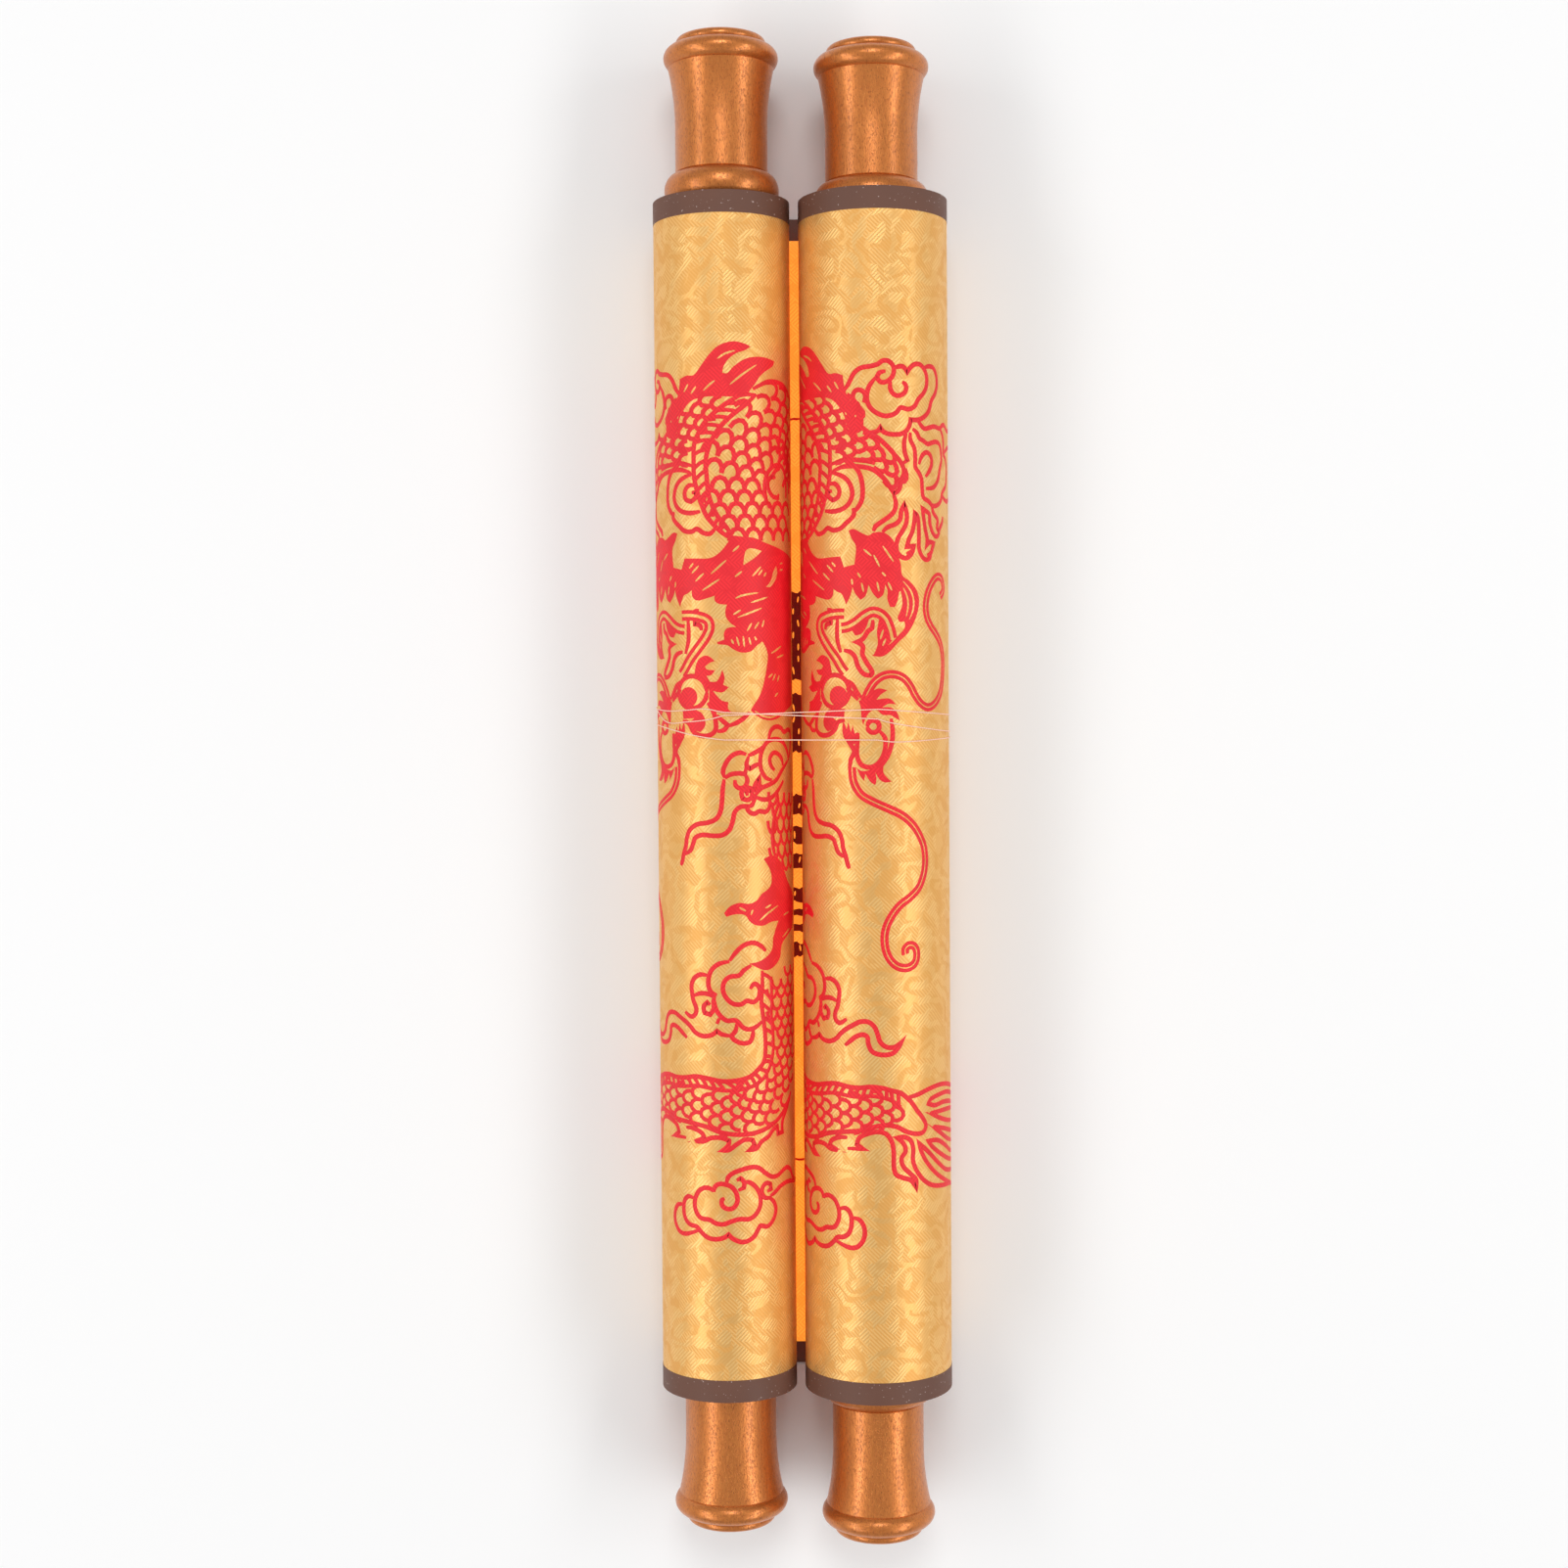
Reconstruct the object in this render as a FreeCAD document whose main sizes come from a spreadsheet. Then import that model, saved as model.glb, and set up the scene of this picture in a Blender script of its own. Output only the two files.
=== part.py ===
import FreeCAD, Part

import math
import os

import Sketcher

# A paper scroll wound from both ends on two wooden rods, closed, lying on its two rolls.
# X runs across the rolls, Y along them and Z is up. The sheet leaves the foot of each roll
# and lies flat between them, so the scroll rests on that strip. The origin lies on the
# ground, midway across the rolls and midway between the outermost knob tips.

os.makedirs("parts", exist_ok=True)
doc = FreeCAD.newDocument("paper_scroll")
sizes = doc.addObject("Spreadsheet::Sheet", "Sizes")

# Driving dimensions in millimetres
DRIVING_SIZES = {
    # the sheet and how it is wound
    "sheet_height": 300.0,
    "sheet_thickness": 0.6,
    "winding_pitch": 0.775,
    "left_half_turns": 6,
    "right_half_turns": 10,
    "core_clearance": 0.17,
    "roll_gap": 1.5,
    # the rods inside the rolls
    "rod_radius": 14.45,
    "rod_length": 292.0,
    "left_rod_shift": 3.1,
    "right_rod_shift": 0.25,
    # the turned end knobs
    "tenon_radius": 5.0,
    "tenon_length": 14.0,
    "tenon_clearance": 0.1,
    "bead_length": 8.1,
    "bead_height": 2.82,
    "waist_length": 12.0,
    "flare_length": 14.5,
    "flare_rise": 1.66,
    "lip_length": 6.2,
    "lip_height": 3.12,
    "button_length": 2.15,
    "button_edge": 1.3,
}

for row, (name, value) in enumerate(DRIVING_SIZES.items(), start=1):
    sizes.set(f"A{row}", name)
    sizes.set(f"B{row}", str(value))
    sizes.setAlias(f"B{row}", name)
doc.recompute()


def size(formula):
    """The value of a formula over the spreadsheet's aliases."""
    return float(sizes.evalExpression(formula))


# Turned pieces

def arc_through(start, end, radius, bulge):
    """An arc between two (radius, length) points, its middle on the +1 or -1 side."""
    chord = (end - start).Length
    middle = (start + end) / 2
    across = FreeCAD.Vector(end.y - start.y, start.x - end.x, 0) / chord * bulge
    rise = radius - math.sqrt(radius**2 - chord**2 / 4)
    return Part.Arc(start, middle + across * rise, end)


def turned_piece(name, outline):
    """A body turned about its own Y axis. Each corner of the outline is a pair of formulas,
    distance from the axis and distance along it, with the radius and the side of the arc
    that leads to the next corner where that stretch is round."""
    body = doc.addObject("PartDesign::Body", name)
    sketch = body.newObject("Sketcher::SketchObject", f"{name}_profile")
    plane = [p for p in body.Origin.OriginFeatures if p.Role == "XY_Plane"][0]
    sketch.AttachmentSupport = [(plane, "")]
    sketch.MapMode = "FlatFace"

    corners = [FreeCAD.Vector(size(c[0]), size(c[1]), 0) for c in outline]
    starts, ends = [], []
    for i, corner in enumerate(corners):
        following = corners[(i + 1) % len(corners)]
        if len(outline[i]) > 2:
            radius, bulge = outline[i][2:]
            stretch = arc_through(corner, following, size(radius), bulge)
        else:
            stretch = Part.LineSegment(corner, following)
        edge = sketch.addGeometry(stretch, False)
        first = 1 if (sketch.getPoint(edge, 1) - corner).Length < 1e-6 else 2
        starts.append((edge, first))
        ends.append((edge, 3 - first))

    for i, corner in enumerate(outline):
        sketch.addConstraint(Sketcher.Constraint("Coincident", *ends[i - 1], *starts[i]))
        for axis, kind in enumerate(("DistanceX", "DistanceY")):
            value = corners[i][axis]
            if abs(value) < 1e-9:
                axis_line = -2 if axis == 0 else -1
                sketch.addConstraint(Sketcher.Constraint("PointOnObject", *starts[i], axis_line))
                continue
            bound = sketch.addConstraint(Sketcher.Constraint(kind, -1, 1, *starts[i], value))
            sketch.setExpression(f"Constraints[{bound}]", corner[axis])
        if len(corner) > 2:
            edge = starts[i][0]
            round_size = sketch.addConstraint(Sketcher.Constraint("Radius", edge, size(corner[2])))
            sketch.setExpression(f"Constraints[{round_size}]", corner[2])

    turning = body.newObject("PartDesign::Revolution", f"{name}_turning")
    turning.Profile = sketch
    turning.ReferenceAxis = (sketch, ["V_Axis"])
    turning.Angle = 360
    sketch.Visibility = False
    doc.recompute()
    return body


def arc_radius(length, rise):
    """The formula of the radius of an arc with this chord and this rise."""
    return f"(({length}) ^ 2 / 4 + ({rise}) ^ 2) / (2 * ({rise}))"


# Where the two rolls lie: the radius of the outer turn follows from what is wound inside it
QUARTER_PITCH = "Sizes.winding_pitch / 4"
CORE = "Sizes.rod_radius + Sizes.core_clearance + Sizes.sheet_thickness"
ROLLS = {}
for side in ("left", "right"):
    inner_steps = f"(Sizes.{side}_half_turns - 1) * Sizes.winding_pitch / 2"
    ROLLS[side] = {"radius": f"({CORE} + {QUARTER_PITCH} + {inner_steps})"}
axis_distance = f"({ROLLS['left']['radius']} + {ROLLS['right']['radius']} + Sizes.roll_gap)"
# the origin lies midway between the outer faces of the two rolls
half_width = f"(({ROLLS['left']['radius']} + {ROLLS['right']['radius']} + {axis_distance}) / 2)"
ROLLS["left"]["place"] = f"(-{half_width} + {ROLLS['left']['radius']})"
ROLLS["right"]["place"] = f"({half_width} - {ROLLS['right']['radius']})"
# the rods are pushed along their rolls unevenly, so the sheet's middle lies off the origin
SHEET_MIDDLE = "-(Sizes.left_rod_shift + Sizes.right_rod_shift) / 2"


# The wound sheet: brown edging strips are pasted on its two long edges and are one with it

def wound_profile():
    """The outline of the sheet's edge: a spiral of half circles on each side of the strip."""
    thickness = size("Sizes.sheet_thickness")
    half_pitch = size("Sizes.winding_pitch / 2")
    outer_edges, inner_edges, caps = [], [], []
    flat = {}
    for side, roll in ROLLS.items():
        direction = -1 if side == "left" else 1
        place_x, radius = size(roll["place"]), size(roll["radius"])
        foot = 0.0
        flat[side] = place_x
        for half_turn in range(int(size(f"Sizes.{side}_half_turns"))):
            rising = half_turn % 2 == 0
            centre_z = foot + radius if rising else foot - radius
            bulge = direction if rising else -direction
            top_z = foot + 2 * radius if rising else foot - 2 * radius
            inward = thickness if rising else -thickness
            start = FreeCAD.Vector(place_x, 0, foot)
            end = FreeCAD.Vector(place_x, 0, top_z)
            middle = FreeCAD.Vector(place_x + bulge * radius, 0, centre_z)
            outer_edges.append(Part.Arc(start, middle, end).toShape())
            lift = FreeCAD.Vector(0, 0, inward)
            inner_middle = middle - FreeCAD.Vector(bulge * thickness, 0, 0)
            inner_edges.append(Part.Arc(start + lift, inner_middle, end - lift).toShape())
            foot = top_z
            radius -= half_pitch
        caps.append(Part.LineSegment(end, end - lift).toShape())
    for level, edges in ((0.0, outer_edges), (thickness, inner_edges)):
        left_foot = FreeCAD.Vector(flat["left"], 0, level)
        right_foot = FreeCAD.Vector(flat["right"], 0, level)
        edges.append(Part.LineSegment(left_foot, right_foot).toShape())
    edges = outer_edges + inner_edges + caps
    return Part.Face(Part.Wire(Part.__sortEdges__(edges)))


rolled_sheet = doc.addObject("Part::Feature", "rolled_sheet")
half_sheet = size("Sizes.sheet_height / 2")
profile = wound_profile()
profile.translate(FreeCAD.Vector(0, size(SHEET_MIDDLE) - half_sheet, 0))
rolled_sheet.Shape = profile.extrude(FreeCAD.Vector(0, 2 * half_sheet, 0))


# The rods, turned from wood with a blind bore for a knob's tenon at each end

BORE_RADIUS = "Sizes.tenon_radius + Sizes.tenon_clearance"
BORE_DEPTH = "Sizes.tenon_length + Sizes.tenon_clearance"
ROD_PROFILE = [
    ("0", BORE_DEPTH),
    (BORE_RADIUS, BORE_DEPTH),
    (BORE_RADIUS, "0"),
    ("Sizes.rod_radius", "0"),
    ("Sizes.rod_radius", "Sizes.rod_length"),
    (BORE_RADIUS, "Sizes.rod_length"),
    (BORE_RADIUS, f"Sizes.rod_length - ({BORE_DEPTH})"),
    ("0", f"Sizes.rod_length - ({BORE_DEPTH})"),
]

# The knobs: tenon, bead, waist, flare, rolled lip and end button. Bead and lip are half
# ellipses that stand as high as the rod is thick, each cut in a few flats.

ROUND_STEPS = 8
WAIST_RADIUS = "(Sizes.rod_radius - Sizes.bead_height)"
FLARE_RADIUS = f"({WAIST_RADIUS} + Sizes.flare_rise)"
BUTTON_RADIUS = "(Sizes.rod_radius - Sizes.lip_height)"
BEAD_END = "Sizes.tenon_length + Sizes.bead_length"
WAIST_END = f"{BEAD_END} + Sizes.waist_length"
FLARE_END = f"{WAIST_END} + Sizes.flare_length"
FLARE_CURVE = arc_radius("2 * Sizes.flare_length", "Sizes.flare_rise")
LIP_START = f"asin(({FLARE_RADIUS} - {BUTTON_RADIUS}) / Sizes.lip_height)"


def rounding(foot_radius, height, low, length, start="0 deg"):
    """The corners of a half ellipse on a turned piece, from an angle on its near side."""
    corners = []
    for step in range(ROUND_STEPS + 1):
        angle = f"({start} + (180 deg - {start}) * {step} / {ROUND_STEPS})"
        along = f"{low} + {length} / 2 * (cos({start}) - cos({angle}))"
        corners.append((f"{foot_radius} + {height} * sin({angle})", along))
    return corners


BEAD = rounding(WAIST_RADIUS, "Sizes.bead_height", "Sizes.tenon_length", "Sizes.bead_length")
LIP = rounding(BUTTON_RADIUS, "Sizes.lip_height", FLARE_END, "Sizes.lip_length", LIP_START)
BUTTON_END = f"{LIP[-1][1]} + Sizes.button_length"
KNOB_PROFILE = [
    ("0", "0"),
    ("Sizes.tenon_radius", "0"),
    ("Sizes.tenon_radius", "Sizes.tenon_length"),
    *BEAD,
    (WAIST_RADIUS, WAIST_END, FLARE_CURVE, -1),
    *LIP,
    (BUTTON_RADIUS, f"{BUTTON_END} - Sizes.button_edge"),
    (f"{BUTTON_RADIUS} - Sizes.button_edge", BUTTON_END),
    ("0", BUTTON_END),
]


def set_in_roll(piece, side, along, turned_round=False):
    """Puts a turned piece on a roll's axis with its own origin at a distance along it."""
    if turned_round:
        piece.Placement = FreeCAD.Placement(
            FreeCAD.Vector(0, 0, 0), FreeCAD.Rotation(FreeCAD.Vector(0, 0, 1), 180)
        )
    roll = ROLLS[side]
    piece.setExpression(".Placement.Base.x", roll["place"])
    piece.setExpression(".Placement.Base.y", along)
    piece.setExpression(".Placement.Base.z", f"{roll['radius']} + {QUARTER_PITCH}")


exported = [rolled_sheet]
for side in ROLLS:
    shift = f"Sizes.{side}_rod_shift + {SHEET_MIDDLE}"
    rod = turned_piece(f"{side}_core_rod", ROD_PROFILE)
    set_in_roll(rod, side, f"{shift} - Sizes.rod_length / 2")
    tenon_seat = "Sizes.rod_length / 2 - Sizes.tenon_length"
    top_knob = turned_piece(f"{side}_top_knob", KNOB_PROFILE)
    set_in_roll(top_knob, side, f"{shift} + {tenon_seat}")
    bottom_knob = turned_piece(f"{side}_bottom_knob", KNOB_PROFILE)
    set_in_roll(bottom_knob, side, f"{shift} - ({tenon_seat})", turned_round=True)
    knobs = doc.addObject("Part::Compound", f"{side}_rod_knobs")
    knobs.Links = [top_knob, bottom_knob]
    exported += [rod, knobs]

doc.recompute()

for item in doc.Objects:
    if {"Invalid", "Error"} & set(item.State):
        raise RuntimeError(f"{item.Name} did not build: {item.State}")
for piece in exported:
    if piece.Shape.isNull() or not piece.Shape.isValid():
        raise RuntimeError(f"{piece.Label} has no valid shape")
    piece.Shape.exportStep(f"parts/{piece.Label}.step")
    box = piece.Shape.BoundBox
    print(piece.Label, len(piece.Shape.Solids), "solids", round(piece.Shape.Volume, 1), box)
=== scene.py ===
# %% [markdown]
# A closed paper scroll lies on its two rolls. The imported model gives the fixed frame: its boxes
# say where the rods and the sheet are. The print, the marks, the thread and the lights are set
# one by one. All sizes are written in millimetres and turned into metres by one factor.
# %% The fixed frame
import math
import random

import bmesh
import bpy
from mathutils import Matrix, Vector
from mathutils.geometry import delaunay_2d_cdt, interpolate_bezier


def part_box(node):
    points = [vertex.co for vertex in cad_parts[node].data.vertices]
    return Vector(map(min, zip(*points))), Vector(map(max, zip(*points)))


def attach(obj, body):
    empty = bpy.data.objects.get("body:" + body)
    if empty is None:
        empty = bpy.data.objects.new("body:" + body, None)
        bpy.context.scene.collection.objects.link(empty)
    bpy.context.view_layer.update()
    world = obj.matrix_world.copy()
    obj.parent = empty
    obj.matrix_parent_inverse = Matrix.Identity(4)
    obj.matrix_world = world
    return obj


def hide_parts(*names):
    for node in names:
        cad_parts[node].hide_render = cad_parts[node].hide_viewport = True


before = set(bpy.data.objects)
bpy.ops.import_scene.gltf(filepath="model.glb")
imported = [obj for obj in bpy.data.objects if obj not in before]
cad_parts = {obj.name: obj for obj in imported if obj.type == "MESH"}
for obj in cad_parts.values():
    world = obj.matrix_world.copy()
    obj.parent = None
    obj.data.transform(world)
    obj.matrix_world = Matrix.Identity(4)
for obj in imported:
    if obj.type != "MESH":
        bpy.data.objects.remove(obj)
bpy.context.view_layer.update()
MM = 0.001

# %% [markdown]
# The sheet is wound from both ends. Seen from the end, each roll is a spiral of half circles:
# every half turn is drawn from its own centre and its radius is half a pitch less than the
# one before. One list of half turns serves the sheet, its edging and the print.
# %% The spiral of each roll
PITCH = 0.775
SHEET_THICKNESS = 0.6
SHEET_HEIGHT = 300.0
HALF_TURNS = {"left": 6, "right": 10}
SHEET_MIDDLE = (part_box("rolled_sheet")[0].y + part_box("rolled_sheet")[1].y) / 2 / MM


def roll_of(side):
    """Axis, radius and half turns of a roll, worked out from the box of its rod."""
    low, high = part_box(f"{side}_core_rod")
    axis_x, axis_z = (low.x + high.x) / 2 / MM, (low.z + high.z) / 2 / MM
    radius = axis_z - PITCH / 4
    roll = {"x": axis_x, "z": axis_z, "radius": radius, "rod": (low.y / MM, high.y / MM)}
    roll["outward"] = -1 if side == "left" else 1
    roll["half_turns"], foot, start = [], 0.0, 0.0
    for number in range(HALF_TURNS[side]):
        rising = number % 2 == 0
        centre_z = foot + radius if rising else foot - radius
        roll["half_turns"].append((centre_z, radius, start, rising))
        foot = centre_z + radius if rising else centre_z - radius
        start += math.pi * radius
        radius -= PITCH / 2
    return roll


ROLLS = {side: roll_of(side) for side in ("left", "right")}
for side, roll in ROLLS.items():
    length = sum(math.pi * turn[1] for turn in roll["half_turns"])
    print(side, "roll: radius", round(roll["radius"], 2), "mm,", round(length), "mm wound up")

# %% [markdown]
# Three helpers: one puts a new object in the scene, one selects pieces for the next
# operator, one joins pieces.
# %% Objects and selections
def new_object(name, data):
    """An object made from its data and put in the scene."""
    made = bpy.data.objects.new(name, data)
    bpy.context.scene.collection.objects.link(made)
    return made


def select_only(*pieces):
    """Select these pieces and nothing else; the last one becomes the active one."""
    bpy.ops.object.select_all(action="DESELECT")
    for piece in pieces:
        piece.select_set(True)
        bpy.context.view_layer.objects.active = piece


def join_pieces(pieces):
    """One piece made of several, under the name of the last."""
    select_only(*pieces)
    bpy.ops.object.join()
    return bpy.context.object


# %% [markdown]
# The camera looks straight down on the scroll from a little over half a metre. Its place and
# tilt come from fitting the silhouettes, the sheet's edges and the knobs' rings.
# %% Camera
camera = new_object("camera", bpy.data.cameras.new("camera"))
camera.data.lens = 50.446
camera.data.sensor_width = 36.0
camera.location = Vector((-7.018, 20.272, 577.0)) * MM
camera.rotation_euler = [math.radians(turn) for turn in (-1.8731, -0.2261, -0.3971)]
camera.data.clip_start = 0.01
bpy.context.scene.camera = camera

# %% [markdown]
# Product light: a white table and a big soft box above, with two long strips along the sides
# whose reflections run down the rolls and the knobs as bright upright bands.
# %% Floor and light
FLOOR_Z = -0.35

select_only()
bpy.ops.mesh.primitive_plane_add(size=6.0, location=(0, 0, FLOOR_Z * MM))
floor = bpy.context.object
floor.name = "floor"


def soft_box(name, place, size, power):
    """A white area light that looks at the scroll's middle."""
    data = bpy.data.lights.new(name, "AREA")
    data.shape = "RECTANGLE"
    data.size, data.size_y = size
    data.energy = power
    lamp = new_object(name, data)
    lamp.location = place
    lamp.rotation_euler = (-Vector(place)).to_track_quat("-Z", "Y").to_euler()


soft_box("top_light", (0.0, 0.8, 1.25), (0.5, 0.6), 5.0)
for name, side_x in (("left_strip", -1.0), ("right_strip", 1.0)):
    soft_box(name, (side_x, -0.24, 0.85), (1.72, 0.32), 7.2)

world = bpy.data.worlds.new("studio")
world.use_nodes = True
world.node_tree.nodes["Background"].inputs["Color"].default_value = (1.0, 1.0, 1.0, 1.0)
world.node_tree.nodes["Background"].inputs["Strength"].default_value = 0.45
bpy.context.scene.world = world
bpy.context.scene.view_settings.view_transform = "Standard"

# %% [markdown]
# Every finish is a node material. These helpers keep the graphs short: they make a material,
# feed its shader, put materials on a piece, make a node and read a colour named as on screen.
# %% Node helpers
def new_material(name, **plain):
    """A material, its nodes and its shader; plain gives values such as Roughness."""
    material = bpy.data.materials.new(name)
    material.use_nodes = True
    shader = material.node_tree.nodes["Principled BSDF"]
    for socket, value in plain.items():
        shader.inputs[socket.replace("_", " ")].default_value = value
    return material, material.node_tree, shader


def feed(tree, shader, **outputs):
    """Link outputs to the shader; Base_Color stands for its socket Base Color."""
    for socket, output in outputs.items():
        tree.links.new(output, shader.inputs[socket.replace("_", " ")])


def paint(piece, *materials):
    """Give a piece these materials in place of any that it has."""
    piece.data.materials.clear()
    for material in materials:
        piece.data.materials.append(material)


def add_node(tree, kind, inputs=(), **settings):
    """A node with its settings; inputs are (socket, value or output) pairs."""
    node = tree.nodes.new(kind)
    for key, value in settings.items():
        setattr(node, key, value)
    for socket, value in inputs:
        if isinstance(value, bpy.types.NodeSocket):
            tree.links.new(value, node.inputs[socket])
        else:
            node.inputs[socket].default_value = value
    return node


def paper_colour(red, green, blue):
    """A colour named as 0 to 255 on screen, turned into the linear values that shaders use."""
    linear = []
    for part in (red, green, blue):
        part /= 255
        linear.append(part / 12.92 if part <= 0.04045 else ((part + 0.055) / 1.055) ** 2.4)
    return (*linear, 1.0)


# %% [markdown]
# The floor is matt white card.
# %% Floor material
card = new_material("white_table", Base_Color=(0.93, 0.93, 0.93, 1.0), Roughness=0.9)[0]
paint(floor, card)

# %% [markdown]
# The wound sheet is drawn like the real one is rolled. A flat strip is laid on the ground,
# then its edge is spun half a turn at a time, each time round its own centre, and Solidify
# gives the finished surface its wall towards the inside.
# %% Winding a strip
SPIN_STEPS = 48
# A point this near to a roll's axis lies on both its sides; one this low is in the flat strip
ON_AXIS = 1e-4
STRIP_BELOW = 0.3
# Corners nearer to each other than this, in metres, become one corner
WELD = 1e-6


def strip_places(point):
    """How far along the winding a point lies, in millimetres from the middle of the strip."""
    side = "left" if point.x < (ROLLS["left"]["x"] + ROLLS["right"]["x"]) / 2 * MM else "right"
    roll = ROLLS[side]
    across = (point.x / MM - roll["x"]) * roll["outward"]
    if across < -ON_AXIS and point.z / MM < STRIP_BELOW:
        return point.x / MM
    best = None
    for centre_z, radius, start, rising in roll["half_turns"]:
        if (across > ON_AXIS and not rising) or (across < -ON_AXIS and rising):
            continue
        height = point.z / MM - centre_z
        miss = abs(math.hypot(across, height) - radius)
        turned = math.atan2(abs(across), -height if rising else height)
        if best is None or miss < best[0]:
            best = (miss, start + radius * turned)
    return roll["x"] + roll["outward"] * best[1]


def wind_strip(name, low_y, high_y, inside, outside):
    """A strip of the sheet from low_y to high_y, wound up on both sides."""
    left, right = ROLLS["left"], ROLLS["right"]
    select_only()
    bpy.ops.mesh.primitive_plane_add(size=1.0)
    piece = bpy.context.object
    piece.name = name
    bpy.ops.object.mode_set(mode="EDIT")
    bpy.ops.transform.resize(value=((right["x"] - left["x"]) * MM, (high_y - low_y) * MM, 1))
    middle = ((left["x"] + right["x"]) / 2 * MM, (low_y + high_y) / 2 * MM, 0)
    bpy.ops.transform.translate(value=middle)
    bpy.ops.mesh.flip_normals()
    for roll in (left, right):
        bpy.ops.mesh.select_all(action="DESELECT")
        bpy.ops.mesh.select_mode(type="EDGE")
        edit = bmesh.from_edit_mesh(piece.data)
        for edge in edit.edges:
            edge.select = all(abs(v.co.x / MM - roll["x"]) < 1e-3 for v in edge.verts)
        edit.select_flush_mode()
        bmesh.update_edit_mesh(piece.data)
        for centre_z, *_ in roll["half_turns"]:
            bpy.ops.mesh.spin(
                steps=SPIN_STEPS,
                angle=math.pi * roll["outward"],
                center=(roll["x"] * MM, 0, centre_z * MM),
                axis=(0, 1, 0),
            )
    bpy.ops.mesh.select_all(action="SELECT")
    bpy.ops.mesh.remove_doubles(threshold=WELD)
    bpy.ops.mesh.normals_make_consistent(inside=False)
    bpy.ops.object.mode_set(mode="OBJECT")
    flat_strip = max(piece.data.polygons, key=lambda face: face.area)
    if flat_strip.normal.z > 0:
        piece.data.flip_normals()
    layer = piece.data.uv_layers.new(name="sheet_mm")
    for loop in piece.data.loops:
        point = piece.data.vertices[loop.vertex_index].co
        layer.data[loop.index].uv = (strip_places(point), point.y / MM)
    wall = piece.modifiers.new("wall", "SOLIDIFY")
    wall.thickness = (inside + outside) * MM
    wall.offset = (outside - inside) / (outside + inside)
    bpy.ops.object.modifier_apply(modifier=wall.name)
    bpy.ops.object.shade_smooth_by_angle(angle=math.radians(30))
    return piece


half_sheet = SHEET_HEIGHT / 2
damask_sheet = wind_strip(
    "damask_sheet", SHEET_MIDDLE - half_sheet, SHEET_MIDDLE + half_sheet, SHEET_THICKNESS, 0.0001
)
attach(damask_sheet, "root")
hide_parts("rolled_sheet")
print("damask sheet:", len(damask_sheet.data.polygons), "faces")

# %% [markdown]
# A brown edging strip is folded over each long edge of the sheet. It is wound in the same
# way, a few hundredths of a millimetre proud of the damask on both faces.
# %% Edging strips
EDGING_WIDTH = 5.5
EDGING_PROUD = 0.06
edgings = []
for name, edge_y, outward in (
    ("top_edging", SHEET_MIDDLE + half_sheet, 1),
    ("bottom_edging", SHEET_MIDDLE - half_sheet, -1),
):
    past = edge_y + outward * EDGING_PROUD
    inner = edge_y - outward * EDGING_WIDTH
    edging = wind_strip(
        name, min(past, inner), max(past, inner), SHEET_THICKNESS + EDGING_PROUD, EDGING_PROUD
    )
    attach(edging, "root")
    edgings.append(edging)
print("edging strips:", [len(edging.data.polygons) for edging in edgings], "faces")

# %% [markdown]
# A knob is turned on a lathe: bead, waist, flare, rolled lip and end button. Half of its
# outline is drawn as edges and spun round the rod's axis, with a fine groove at each step
# as the chisel leaves it.
# %% Turned knobs
ROD_RADIUS = 14.45
KNOB_STEPS = 96
ELLIPSE_STEPS = 18


def half_ellipse(foot_radius, height, low, length, first=0.0):
    """Points of a half ellipse that stands on a foot radius, from low to low + length."""
    points = []
    for step in range(ELLIPSE_STEPS + 1):
        angle = first + (math.pi - first) * step / ELLIPSE_STEPS
        along = low + length / 2 * (math.cos(first) - math.cos(angle))
        points.append((foot_radius + height * math.sin(angle), along))
    return points


def knob_outline():
    """(distance from the axis, distance from the rod's end) from the tenon to the button."""
    tenon, tenon_depth, groove = 5.0, 14.0, 0.22
    bead_height, bead_length, waist_length = 2.82, 8.1, 12.0
    flare_rise, flare_length, flare_steps = 1.66, 14.5, 16
    lip_height, lip_length = 3.12, 6.2
    nick_depth, nick_low, nick_high = 0.15, 0.2, 0.45
    button_length, edge_round, round_steps = 2.15, 1.3, 6
    waist, button = ROD_RADIUS - bead_height, ROD_RADIUS - lip_height
    points = [(0.0, -tenon_depth), (tenon, -tenon_depth), (tenon, 0.0)]
    points += half_ellipse(waist, bead_height, 0.0, bead_length)
    points += [(waist - groove, bead_length + groove), (waist, bead_length + 2 * groove)]
    flare_start = bead_length + waist_length
    radius = (flare_length**2 + flare_rise**2) / (2 * flare_rise)
    for step in range(flare_steps + 1):
        along = flare_length * step / flare_steps
        points.append((waist + radius - math.sqrt(radius**2 - along**2), flare_start + along))
    flare_radius, flare_end = points[-1]
    points.append((flare_radius - groove, flare_end + groove))
    first = math.asin((flare_radius - button) / lip_height)
    lip_start = flare_end + 2 * groove
    points += half_ellipse(button, lip_height, lip_start, lip_length - 2 * groove, first)
    lip_end = points[-1][1]
    points += [(button - nick_depth, lip_end + nick_low), (button, lip_end + nick_high)]
    end = lip_end + button_length
    for step in range(round_steps + 1):
        angle = math.pi / 2 * step / round_steps
        reach = button - edge_round + edge_round * math.cos(angle)
        points.append((reach, end - edge_round + edge_round * math.sin(angle)))
    points.append((0.0, end))
    return points


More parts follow.
